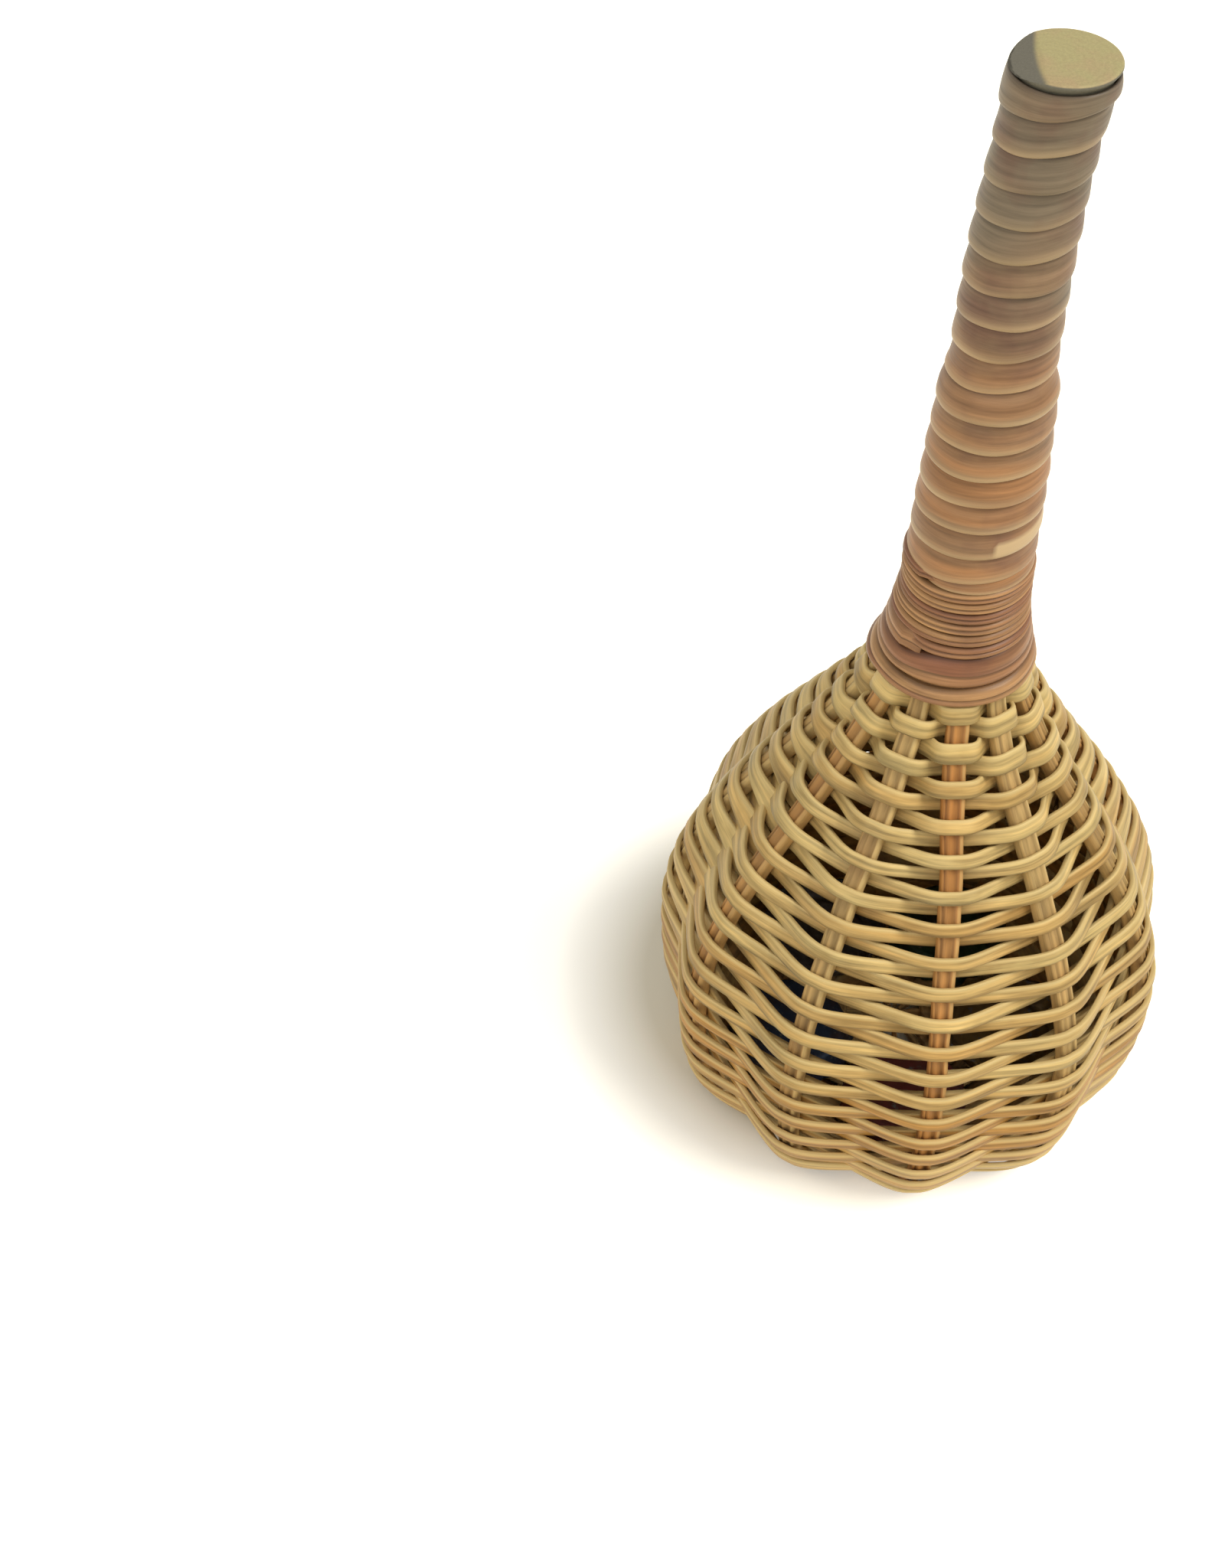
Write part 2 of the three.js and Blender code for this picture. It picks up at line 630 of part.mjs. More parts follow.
function crownCap() {
  const profile = [
    new THREE.Vector2(0, CAP_HEIGHT),
    new THREE.Vector2(CAP_CROWN_RADIUS, CAP_HEIGHT),
    new THREE.Vector2(CAP_SHOULDER_RADIUS, CAP_HEIGHT - CAP_SHOULDER_DROP),
    new THREE.Vector2(CAP_RADIUS, 0),
    new THREE.Vector2(CAP_RADIUS - CAP_SHEET, 0),
    new THREE.Vector2(CAP_SHOULDER_RADIUS - CAP_SHEET, CAP_HEIGHT - CAP_SHOULDER_DROP - CAP_SHEET),
    new THREE.Vector2(0, CAP_HEIGHT - CAP_SHEET),
  ];
  const geometry = new THREE.LatheGeometry(profile.reverse(), 2 * CAP_FLUTES).rotateX(Math.PI / 2);
  const corner = new THREE.Vector3();
  const { position } = geometry.attributes;
  for (let i = 0; i < position.count; i += 1) {
    corner.fromBufferAttribute(position, i);
    const depth = THREE.MathUtils.clamp(1 - corner.z / (CAP_HEIGHT - CAP_SHOULDER_DROP), 0, 1);
    const valley = (1 - Math.cos(CAP_FLUTES * Math.atan2(corner.y, corner.x))) / 2;
    const drawn = 1 - (depth * valley * CAP_FLUTE_DEPTH) / CAP_RADIUS;
    position.setXY(i, corner.x * drawn, corner.y * drawn);
  }
  return geometry;
}

for (let k = 0; k < CAP_COUNT; k += 1) {
  const angle = FRONT + (k * 2 * Math.PI) / CAP_COUNT;
  const x = capOrbit * Math.cos(angle);
  const y = capOrbit * Math.sin(angle);
  const upsideDown = k % 2 === 1;
  const rest = restHeight(x, y, upsideDown);
  const cap = addPart(`bottlecap_${k + 1}`, crownCap(), CAP_PAINTS[k % CAP_PAINTS.length], WORN_PAINT);
  cap.position.set(x, y, upsideDown ? rest + CAP_HEIGHT : rest);
  cap.rotation.x = upsideDown ? Math.PI : 0;
}

export default shaker;
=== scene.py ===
"""A woven cane shaker with a wrapped handle and loose crown caps inside, in metres, +Z up.

The weave, the stakes and the windings follow the same curves as the solids that they stand for. Sizes are
in millimetres and become metres when a mesh is made. A name that ends in STARTS or ENDS is a pair: where a
change begins, and where it is complete.
"""

import math
from collections import namedtuple

import bmesh
import bpy
import numpy as np
from mathutils import Matrix, Vector


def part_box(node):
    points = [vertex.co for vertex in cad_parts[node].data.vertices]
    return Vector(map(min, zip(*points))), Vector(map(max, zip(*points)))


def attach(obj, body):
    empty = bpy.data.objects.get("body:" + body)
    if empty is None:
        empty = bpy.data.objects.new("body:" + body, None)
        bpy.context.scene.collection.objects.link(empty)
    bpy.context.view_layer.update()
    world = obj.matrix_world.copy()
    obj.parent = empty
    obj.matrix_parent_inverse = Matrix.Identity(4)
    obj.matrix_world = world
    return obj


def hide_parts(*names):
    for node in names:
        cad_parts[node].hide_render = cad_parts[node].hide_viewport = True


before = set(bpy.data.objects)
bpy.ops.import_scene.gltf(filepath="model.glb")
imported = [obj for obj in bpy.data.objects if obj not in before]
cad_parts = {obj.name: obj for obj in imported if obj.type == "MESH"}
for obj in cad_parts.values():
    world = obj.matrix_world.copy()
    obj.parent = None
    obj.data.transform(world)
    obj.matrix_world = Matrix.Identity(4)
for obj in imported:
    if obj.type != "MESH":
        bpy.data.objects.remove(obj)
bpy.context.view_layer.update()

MM = 0.001
CM = 10
FRONT = -math.pi / 2
TURN = 2 * math.pi

# Basket form, measured to the middle of the stakes
STAKE_COUNT = 11
TIP_RADIUS = 2.0
FOOT_RADIUS = 41.5
BASE_RISE = 2.6
BELLY_RADIUS = 56.5
BELLY_HEIGHT = 42.0
NECK_RADIUS = 14.6
NECK_HEIGHT = 133.0
GATHER_HEIGHT = 160.0
STAKE_TOP = 205.0

# How far each bend of the form reaches before it turns
BASE_FLATNESS = 14.0
FOOT_FLATNESS = 10.0
FOOT_STEEPNESS = 26.0
SHOULDER_FULLNESS = 38.0
NECK_SWEEP = 25.0
NECK_LEAN = 6.0
GATHER_SWEEP = 10.0
BASE_STEPS = 4
FOOT_STEPS = 7
WALL_STEPS = 8
GATHER_STEPS = 4

# Stakes
STAKE_WIDTH = 4.8
STAKE_NECK_WIDTH = 4.0
STAKE_TIP_WIDTH = 0.8
STAKE_THICKNESS = 2.4
STAKE_END_THICKNESS = 1.0
STAKE_THINNING = 30.0
STAKE_FACE = 0.55
BROWN_STAKES = (1, 4, 7, 10)

# Weavers
CANE_WIDTH = 3.1
CANE_THICKNESS = 2.0
NECK_CANE_WIDTH = 3.7
NECK_CANE_THICKNESS = 1.6
ROW_GAP = 0.45
WEAVE_GAP = 0.35
SPLICE_GAP = 1.0
WEAVE_START_RADIUS = 10.5
WALL_WEAVER_COUNT = 5
NECK_ROWS = 4
FLAT_DEPTH = 0.6

# Stick handle
HANDLE_TOP = 273.0
CORE_BOTTOM = 137.0
CORE_RADIUS = 8.6
CORE_WAIST_RADIUS = 7.8
CORE_WAIST_DROP = 12.0
CORE_TAPER = 40.0
CORE_COLLAR_RADIUS = 8.9
CORE_END_RADIUS = 9.6
CORE_END_BEVEL = 0.6
BARE_END = 1.8
FACET_INSET = 4.3
FACET_DROP = 1.7
FACET_ANGLE = math.radians(179)
BEND_LENGTH = 48.0
BEND_SHIFT = 2.6
BEND_ANGLE = math.radians(15)

# Windings
SEAT_GAP = 0.3
TURN_GAP = 0.6
BAND_WIDTH = 4.6
BAND_LOOPS = 2
BINDING_WIDTH = 2.2
BINDING_LOOPS = 6
WRAP_WIDTH = 6.4
WRAP_THICKNESS = 1.1
WRAP_TAIL_WIDTH = 1.6
TACK_HEAD_RADIUS = 1.6
TACK_HEAD_HEIGHT = 0.8
TACK_SHANK_RADIUS = 0.7
TACK_DEPTH = 5.0
TACK_LEAD = 0.2

# Crown caps
CAP_COUNT = 5
CAP_RADIUS = 16.0
CAP_CROWN_RADIUS = 12.4
CAP_SHOULDER_RADIUS = 13.4
CAP_SHOULDER_DROP = 0.9
CAP_HEIGHT = 6.0
CAP_SHEET = 0.6
CAP_FLUTES = 21
CAP_FLUTE_DEPTH = 0.9
CAP_CLEARANCE = 0.4

STAKE_STEP = TURN / STAKE_COUNT
ROW_PITCH = CANE_WIDTH + ROW_GAP
NECK_PITCH = NECK_CANE_WIDTH + ROW_GAP
WEAVE_REACH = STAKE_THICKNESS / 2 + WEAVE_GAP + CANE_THICKNESS
FOOT_HEIGHT = WEAVE_REACH - FLAT_DEPTH
GATHER_RADIUS = CORE_RADIUS + SEAT_GAP + STAKE_THICKNESS / 2
STAKE_END_RADIUS = CORE_RADIUS + SEAT_GAP + STAKE_END_THICKNESS / 2
WRAP_TOP = HANDLE_TOP - BARE_END
BEND_HEIGHT = HANDLE_TOP - BEND_LENGTH

# Smooth noise: each wave is quicker and weaker than the one before
DRIFT_WAVES = 4
DRIFT_PACES = (0.6, 1.4)
DRIFT_QUICKENING = 1.7
DRIFT_FADING = 1.4
DRIFT_REACH = 1.9


def drift(seed, position):
    """Smooth noise from about -1 to 1 along a position, the same for the same seed."""
    random = np.random.default_rng(seed)
    total = np.zeros(np.shape(position))
    for wave in range(DRIFT_WAVES):
        pace = random.uniform(*DRIFT_PACES) * DRIFT_QUICKENING ** wave
        phase = random.uniform(0, TURN)
        total = total + np.sin(np.asarray(position) * pace + phase) / DRIFT_FADING ** wave
    return total / DRIFT_REACH


Play = namedtuple("Play", "reach seed length")


def played(play, position, number=0):
    """Unevenness along a position, which differs with the number of the piece."""
    return play.reach * drift(play.seed + number, position / play.length)


def smooth_step(low, high, value):
    """0 below the low value and 1 above the high one, with an even turn between them."""
    share = np.clip((np.asarray(value, float) - low) / (high - low), 0, 1)
    return share * share * (3 - 2 * share)


# The stakes' line

FINE = 10


def bezier(points, steps):
    """Points on a curve of 3 or 4 control points, without the last one."""
    t = np.arange(steps)[:, None] / steps
    if len(points) == 3:
        weights = ((1 - t) ** 2, 2 * t * (1 - t), t ** 2)
    else:
        weights = ((1 - t) ** 3, 3 * t * (1 - t) ** 2, 3 * t ** 2 * (1 - t), t ** 3)
    return sum(weight * np.array(point, float) for weight, point in zip(weights, points))


def stake_line():
    """Radius and height of the stakes' middle line, from the tip at the base to the end on the handle."""
    neck = np.array([NECK_RADIUS, NECK_HEIGHT])
    neck_heading = np.array([-NECK_LEAN, NECK_SWEEP]) / math.hypot(NECK_LEAN, NECK_SWEEP)
    base = [(TIP_RADIUS, FOOT_HEIGHT + BASE_RISE), (FOOT_RADIUS - BASE_FLATNESS, FOOT_HEIGHT),
            (FOOT_RADIUS, FOOT_HEIGHT)]
    foot = [(FOOT_RADIUS, FOOT_HEIGHT), (FOOT_RADIUS + FOOT_FLATNESS, FOOT_HEIGHT),
            (BELLY_RADIUS, BELLY_HEIGHT - FOOT_STEEPNESS), (BELLY_RADIUS, BELLY_HEIGHT)]
    wall = [(BELLY_RADIUS, BELLY_HEIGHT), (BELLY_RADIUS, BELLY_HEIGHT + SHOULDER_FULLNESS),
            (NECK_RADIUS + NECK_LEAN, NECK_HEIGHT - NECK_SWEEP), neck]
    gather = [neck, neck + GATHER_SWEEP * neck_heading, (GATHER_RADIUS, GATHER_HEIGHT - GATHER_SWEEP),
              (GATHER_RADIUS, GATHER_HEIGHT)]
    curves = [(base, BASE_STEPS), (foot, FOOT_STEPS), (wall, WALL_STEPS), (gather, GATHER_STEPS)]
    runs = [bezier(points, steps * FINE) for points, steps in curves]
    ends = [(GATHER_RADIUS, GATHER_HEIGHT), (GATHER_RADIUS, STAKE_TOP - STAKE_THINNING),
            (STAKE_END_RADIUS, STAKE_TOP)]
    shares = np.arange(FINE)[:, None] / FINE
    for low, high in zip(ends, ends[1:]):
        runs.append((1 - shares) * np.array(low) + shares * np.array(high))
    return np.vstack(runs + [np.array([ends[-1]])])


# Distances are those of the solids' straight steps, and the line between them is drawn finer.
fine_line = stake_line()
stations = fine_line[::FINE]
station_distance = np.concatenate([[0], np.cumsum(np.linalg.norm(np.diff(stations, axis=0), axis=1))])
line_distance = np.interp(np.arange(len(fine_line)) / FINE, np.arange(len(stations)), station_distance)
line_heading = np.gradient(fine_line, axis=0)
line_heading /= np.linalg.norm(line_heading, axis=1, keepdims=True)

STAKE_LENGTH = station_distance[-1]
FOOT_DISTANCE = station_distance[BASE_STEPS]
BELLY_DISTANCE = station_distance[BASE_STEPS + FOOT_STEPS]
NECK_DISTANCE = station_distance[BASE_STEPS + FOOT_STEPS + WALL_STEPS]
THIN_DISTANCE = station_distance[-2]

# Where a stake is swollen so that the weavers touch it: away from its tip, and below the windings
SWELL_STARTS = (15, 30)
SWELL_ENDS = (120, 134)


def along(distance):
    """Radius and height, heading, and direction out of the basket at distances along the line."""
    point = np.stack([np.interp(distance, line_distance, fine_line[:, k]) for k in (0, 1)], axis=-1)
    heading = np.stack([np.interp(distance, line_distance, line_heading[:, k]) for k in (0, 1)], axis=-1)
    heading /= np.linalg.norm(heading, axis=-1, keepdims=True)
    out = np.stack([heading[..., 1], -heading[..., 0]], axis=-1)
    return point, heading, out


def stake_width(distance):
    return np.interp(distance, [0, FOOT_DISTANCE, BELLY_DISTANCE, NECK_DISTANCE],
                     [STAKE_TIP_WIDTH, STAKE_WIDTH, STAKE_WIDTH, STAKE_NECK_WIDTH])


def stake_thickness(distance):
    return np.interp(distance, [THIN_DISTANCE, STAKE_LENGTH], [STAKE_THICKNESS, STAKE_END_THICKNESS])


def stake_swell(distance, height):
    """How far a stake is swollen, from 0 to 1."""
    return smooth_step(*SWELL_STARTS, distance) * (1 - smooth_step(*SWELL_ENDS, height))


def turned(flat, angle):
    """Radius and height turned to an angle round the basket."""
    angle = np.broadcast_to(angle, flat.shape[:-1])
    return np.stack([flat[..., 0] * np.cos(angle), flat[..., 0] * np.sin(angle), flat[..., 1]], axis=-1)


def round_direction(angle):
    return np.stack([-np.sin(angle), np.cos(angle), np.zeros_like(angle)], axis=-1)


# Shader nodes


def new_tree(name):
    material = bpy.data.materials.new(name)
    material.use_nodes = True
    return material, material.node_tree, material.node_tree.nodes["Principled BSDF"]


def add_node(tree, kind, inputs=None, **settings):
    """A node with its settings, and with each input set to a value or linked to a socket."""
    made = tree.nodes.new(kind)
    for key, value in settings.items():
        setattr(made, key, value)
    for key, value in (inputs or {}).items():
        if isinstance(value, bpy.types.NodeSocket):
            tree.links.new(value, made.inputs[key])
        else:
            made.inputs[key].default_value = value
    return made


def rgb(red, green, blue):
    return (red, green, blue, 1.0)


def mix_colors(tree, factor, first, second, blend="MIX"):
    inputs = {0: factor, 6: first, 7: second}
    return add_node(tree, "ShaderNodeMix", inputs, data_type="RGBA", blend_type=blend).outputs[2]


def calculate(tree, operation, first, second):
    return add_node(tree, "ShaderNodeMath", {0: first, 1: second}, operation=operation).outputs[0]


def noise(tree, vector, scale=1.0, detail=3.0, roughness=0.55):
    inputs = {"Vector": vector, "Scale": scale, "Detail": detail, "Roughness": roughness}
    return add_node(tree, "ShaderNodeTexNoise", inputs).outputs["Fac"]


def remap(tree, value, between, to=(0.0, 1.0)):
    inputs = {"Value": value, "From Min": between[0], "From Max": between[1], "To Min": to[0],
              "To Max": to[1]}
    return add_node(tree, "ShaderNodeMapRange", inputs).outputs["Result"]


def mark_value(tree, mark):
    return add_node(tree, "ShaderNodeAttribute", attribute_name=mark).outputs["Fac"]


def scaled_uv(tree, length_scale, girth_scale):
    uv = add_node(tree, "ShaderNodeUVMap", uv_map="cane").outputs["UV"]
    inputs = {"Vector": uv, "Scale": (length_scale, girth_scale, 1.0)}
    return add_node(tree, "ShaderNodeMapping", inputs).outputs["Vector"]


def object_place(tree):
    return add_node(tree, "ShaderNodeTexCoord").outputs["Object"]


def add_bump(tree, shader, height, strength, distance):
    """Fine relief on the surface, at a distance in metres."""
    bump = add_node(tree, "ShaderNodeBump", {"Strength": strength, "Distance": distance, "Height": height})
    tree.links.new(bump.outputs["Normal"], shader.inputs["Normal"])


# Cane: its colours where it is pale, deep in tone, stained, and at its pale lip, a colour that also gives the
# painted highlights
CANE_LOOKS = {
    "cane_straw": {"pale": (0.69, 0.495, 0.19), "deep": (0.5, 0.25, 0.055), "stain": (0.42, 0.24, 0.06),
                   "lip_and_highlight": (0.73, 0.545, 0.23), "roughness": 0.46, "fibre": 0.6},
    "cane_tan": {"pale": (0.65, 0.45, 0.175), "deep": (0.5, 0.27, 0.085), "stain": (0.34, 0.18, 0.07),
                 "lip_and_highlight": (0.7, 0.51, 0.21), "roughness": 0.5, "fibre": 0.5},
    "cane_brown": {"pale": (0.6, 0.35, 0.12), "deep": (0.49, 0.205, 0.05), "stain": (0.31, 0.13, 0.04),
                   "lip_and_highlight": (0.66, 0.43, 0.16), "roughness": 0.48, "fibre": 0.4},
    "collar_cane": {"pale": (0.57, 0.31, 0.125), "deep": (0.27, 0.1, 0.05), "stain": (0.17, 0.07, 0.045),
                    "lip_and_highlight": (0.6, 0.4, 0.2), "roughness": 0.36, "fibre": 0.4},
    "wrap_cane": {"pale": (0.42, 0.2, 0.08), "deep": (0.22, 0.165, 0.105), "stain": (0.18, 0.085, 0.055),
                  "lip_and_highlight": (0.6, 0.42, 0.225), "roughness": 0.42, "fibre": 0.4, "stained": 0.75},
}
CANE_SHINE = 0.25
CREASE_SHADE = 0.38
FIBRE_GLEAM = 0.4
STREAK_STRENGTH = 0.5
HAIR_SHARE = 0.4


def cane_material(name, pale, deep, stain, lip_and_highlight, roughness, fibre, stained=0.5):
    """Split cane: pale to deep by the tone mark, with lengthwise fibre and stains. The edge mark turns it to
    the pale lip colour: a painted highlight along the upper edge of the weavers, the paler cut lip of the
    wrap with a painted highlight on it, and one edge of each stake paler. The crease mark darkens it with
    painted shade in grooves and creases."""
    material, tree, shader = new_tree(name)
    fibres = noise(tree, scaled_uv(tree, length_scale=0.4, girth_scale=11.0), detail=4.0, roughness=0.6)
    hairs = noise(tree, scaled_uv(tree, length_scale=0.9, girth_scale=46.0), detail=2.0)
    patches = noise(tree, object_place(tree), scale=70.0)
    streaks = noise(tree, scaled_uv(tree, length_scale=0.22, girth_scale=3.0), detail=2.0)
    color = mix_colors(tree, mark_value(tree, "tone"), rgb(*pale), rgb(*deep))
    streaked = remap(tree, streaks, between=(0.45, 0.75), to=(0.0, STREAK_STRENGTH))
    color = mix_colors(tree, streaked, color, rgb(*deep))
    patched = remap(tree, patches, between=(0.5, 0.72), to=(0.0, stained))
    color = mix_colors(tree, patched, color, rgb(*stain))
    lines = remap(tree, fibres, between=(0.3, 0.7), to=(1.0 - fibre, 1.0 + FIBRE_GLEAM * fibre))
    color = mix_colors(tree, 1.0, color, lines, "MULTIPLY")
    # The edge mark mixes in the pale lip colour, which is painted highlight on the weavers' upper edges and
    # on the wrap's lips
    color = mix_colors(tree, mark_value(tree, "edge"), color, rgb(*lip_and_highlight))
    # The crease mark darkens the colour as painted shade
    crease = remap(tree, mark_value(tree, "crease"), between=(0.0, 1.0), to=(1.0, CREASE_SHADE))
    tree.links.new(mix_colors(tree, 1.0, color, crease, "MULTIPLY"), shader.inputs["Base Color"])
    gloss = remap(tree, hairs, between=(0.3, 0.7), to=(roughness - 0.08, roughness + 0.1))
    tree.links.new(gloss, shader.inputs["Roughness"])
    shader.inputs["Specular IOR Level"].default_value = CANE_SHINE
    add_bump(tree, shader, mix_colors(tree, HAIR_SHARE, fibres, hairs), strength=0.35, distance=0.0003)
    return material


# Stick
SAWN_PALE = (0.42, 0.355, 0.155)
SAWN_WARM = (0.44, 0.32, 0.155)
SAWN_RINGS = (0.3, 0.24, 0.09)
WEATHERED_WOOD_AND_SHADE = (0.14, 0.125, 0.085)
RING_STRENGTH = 0.14


def wood_material():
    """The stick: darker sides and facet by the tone mark, weathered wood that also carries painted shade, and
    a pale sawn end with faint growth rings.
    """
    material, tree, shader = new_tree("stick_wood")
    place = object_place(tree)
    waves = {"Vector": place, "Scale": 260.0, "Distortion": 4.0, "Detail": 3.0, "Detail Scale": 2.0}
    rings = add_node(tree, "ShaderNodeTexWave", waves, wave_type="RINGS", rings_direction="Z").outputs["Fac"]
    blush = noise(tree, place, scale=160.0, detail=2.0)
    grit = noise(tree, place, scale=2600.0, roughness=0.7)
    sawn = mix_colors(tree, remap(tree, blush, between=(0.4, 0.65)), rgb(*SAWN_PALE), rgb(*SAWN_WARM))
    ringed = remap(tree, rings, between=(0.0, 1.0), to=(0.0, RING_STRENGTH))
    sawn = mix_colors(tree, ringed, sawn, rgb(*SAWN_RINGS))
    color = mix_colors(tree, mark_value(tree, "tone"), sawn, rgb(*WEATHERED_WOOD_AND_SHADE))
    speckle = remap(tree, grit, between=(0.3, 0.7), to=(0.86, 1.08))
    tree.links.new(mix_colors(tree, 1.0, color, speckle, "MULTIPLY"), shader.inputs["Base Color"])
    shader.inputs["Roughness"].default_value = 0.65
    add_bump(tree, shader, grit, strength=0.3, distance=0.0002)
    return material


# Tack
TACK_STEEL = (0.16, 0.14, 0.12)
TACK_RUST = (0.1, 0.06, 0.04)


def tack_material():
    """Dulled steel with brown rust."""
    material, tree, shader = new_tree("tack_steel")
    dull = noise(tree, object_place(tree), scale=1500.0)
    color = mix_colors(tree, remap(tree, dull, between=(0.4, 0.65)), rgb(*TACK_STEEL), rgb(*TACK_RUST))
    tree.links.new(color, shader.inputs["Base Color"])
    tree.links.new(remap(tree, dull, between=(0.3, 0.7), to=(0.35, 0.6)), shader.inputs["Roughness"])
    shader.inputs["Metallic"].default_value = 0.9
    return material


# Caps, in the order of their numbers
CAP_PAINTS = {"cap_red": (0.15, 0.03, 0.02), "cap_gold": (0.18, 0.11, 0.03), "cap_green": (0.04, 0.08, 0.04),
              "cap_silver": (0.15, 0.14, 0.13), "cap_blue": (0.03, 0.045, 0.08)}
CAP_RUST_AND_SHADE = (0.06, 0.03, 0.015)
CAP_BARE_METAL = (0.12, 0.11, 0.1)
RUST_AND_SHADE_STRENGTH = 0.7


def cap_material(name, paint):
    """Plain worn paint, with rust that also darkens the caps as painted shade for the inside of the basket,
    and bare dull metal where it has rubbed off.
    """
    material, tree, shader = new_tree(name)
    place = object_place(tree)
    wear = noise(tree, place, scale=420.0, detail=4.0, roughness=0.7)
    rust = noise(tree, place, scale=130.0)
    # Rust laid on heavily, partly as painted shade for the caps inside the basket
    rust_and_shade = remap(tree, rust, between=(0.45, 0.7), to=(0.0, RUST_AND_SHADE_STRENGTH))
    color = mix_colors(tree, rust_and_shade, rgb(*paint), rgb(*CAP_RUST_AND_SHADE))
    color = mix_colors(tree, remap(tree, wear, between=(0.58, 0.66)), color, rgb(*CAP_BARE_METAL))
    tree.links.new(color, shader.inputs["Base Color"])
    tree.links.new(remap(tree, wear, between=(0.3, 0.7), to=(0.4, 0.65)), shader.inputs["Roughness"])
    shader.inputs["Metallic"].default_value = 0.4
    return material


materials = {slot: cane_material(slot, **look) for slot, look in CANE_LOOKS.items()}
materials["stick_wood"] = wood_material()
materials["tack_steel"] = tack_material()
for slot, paint in CAP_PAINTS.items():
    materials[slot] = cap_material(slot, paint)

# Meshes

CORNER_STEPS = 4


def finish_mesh(name, mesh, slot):
    """Turns the faces outwards, and adds the piece to the scene with the material of its slot."""
    shape = bmesh.new()
    shape.from_mesh(mesh)
    if shape.calc_volume(signed=True) < 0:
        bmesh.ops.reverse_faces(shape, faces=shape.faces)
        shape.to_mesh(mesh)
    shape.free()
    mesh.shade_smooth()
    piece = bpy.data.objects.new(name, mesh)
    bpy.context.scene.collection.objects.link(piece)
    mesh.materials.append(materials[slot])
    return piece


def tube(name, rings, slot, **marks):
    """A closed tube through rings of points, in mm. Its UV is its length in cm and its girth from 0 to 1.
    Each mark becomes a value at the points, given for each ring or for each point."""
    steps, sides, _ = rings.shape
    row = np.arange(steps - 1)[:, None] * sides
    side = np.arange(sides)[None, :]
    after = (side + 1) % sides
    quads = np.stack([row + side, row + after, row + sides + after, row + sides + side], axis=-1)
    first = list(range(sides))[::-1]
    last = list(range((steps - 1) * sides, steps * sides))
    mesh = bpy.data.meshes.new(name)
    mesh.from_pydata((rings.reshape(-1, 3) * MM).tolist(), [], quads.reshape(-1, 4).tolist() + [first, last])
    middle = rings.mean(axis=1)
    length = np.concatenate([[0], np.cumsum(np.linalg.norm(np.diff(middle, axis=0), axis=1))]) / CM
    girth = np.arange(sides + 1) / sides
    u = np.stack([length[:-1], length[:-1], length[1:], length[1:]], axis=-1)[:, None, :]
    v = np.stack([girth[:-1], girth[1:], girth[1:], girth[:-1]], axis=-1)[None, :, :]
    corners = np.stack(np.broadcast_arrays(u, v), axis=-1).reshape(-1, 2)
    ends = np.concatenate([np.stack([np.full(sides, at), girth[:-1]], axis=-1) for at in length[[0, -1]]])
    layer = mesh.uv_layers.new(name="cane")
    layer.data.foreach_set("uv", np.concatenate([corners, ends]).astype(np.float32).ravel())
    for mark, value in marks.items():
        values = np.broadcast_to(value if np.ndim(value) == 2 else np.reshape(value, (-1, 1)), (steps, sides))
        store = mesh.attributes.new(mark, "FLOAT", "POINT")
        store.data.foreach_set("value", values.astype(np.float32).ravel())
    piece = finish_mesh(name, mesh, slot)
    for polygon in list(mesh.polygons)[-2:]:
        polygon.use_smooth = False
    return piece


def add_to_shaker(piece, node):
    """The piece stands in for a node of the rigid shaker."""
    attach(piece, "shaker")
    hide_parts(node)


def strip_section(across_corner, out_corner, crown):
    """Positions across and out, from -1 to 1, of a section with round corners and a crowned outer face."""
    turn = np.linspace(0, math.pi / 2, CORNER_STEPS)
    corner = 1 - across_corner * (1 - np.cos(turn))
    x = np.concatenate([corner, (1 - across_corner) * np.array([0.5, 0, -0.5]), -corner[::-1]])
    edge = 1 - out_corner * (1 - np.sin(turn))
    y = np.concatenate([edge, np.ones(3), edge[::-1]])
    return np.concatenate([x, -x]), np.concatenate([y - crown * x ** 2, -y])


def flat_oval(sides, squareness, fullness):
    """A unit section: positions across and out, from -1 to 1."""
    angle = (np.arange(sides) + 0.5) * TURN / sides
    across = np.sign(np.cos(angle)) * np.abs(np.cos(angle)) ** squareness
    out = np.sign(np.sin(angle)) * np.abs(np.sin(angle)) ** fullness
    return across / np.abs(across).max(), out / np.abs(out).max()


def rolled(across, outward, roll):
    """The directions across and out of a strand, rolled about it by an angle for each point."""
    roll = roll[:, None]
    return (across * np.cos(roll) + outward * np.sin(roll),
            outward * np.cos(roll) - across * np.sin(roll))


def strand_rings(middle, across, outward, section, width, thickness):
    """Rings of a unit section along a strand, by its width and thickness at each point."""
    x, y = section
    return (middle[:, None] + across[:, None] * (x * width[:, None] / 2)[..., None]
            + outward[:, None] * (y * thickness[:, None] / 2)[..., None])


# Stakes: flat cane with grooves along it, a little uneven, and each with its own tone

STAKE_RINGS = 170
STAKE_SIDES = 40
STAKE_SQUARENESS = 0.62
STAKE_FULLNESS = 0.6
STAKE_GROOVES = (-0.55, 0.15, 0.45)
GROOVE_PLAY = 0.1
GROOVE_WIDTH = 0.1
GROOVE_DEPTH = 0.28
GROOVE_SHADE = 0.6
STAKE_SWELL = 0.6
STAKE_SPREAD = 0.15
SPREAD_STARTS = (55, 105)
SPREAD_ENDS = (126, 138)
STAKE_SEED = 100
STAKE_WANDER = Play(reach=0.3, seed=STAKE_SEED, length=17)
WANDER_STARTS = (20, 60)
STAKE_ROLL = Play(reach=0.07, seed=150, length=22)
STAKE_WIDTH_PLAY = Play(reach=0.05, seed=170, length=12)
STAKE_TONE = 0.4
STAKE_TONE_PLAY = Play(reach=0.35, seed=190, length=30)
STAKE_TONE_RANGE = 0.2
FRONT_STAKE_DEPTH = 0.35
STAKE_PALE_SIDE = 0.5
PALE_SIDE_STARTS = (0.58, 0.7)


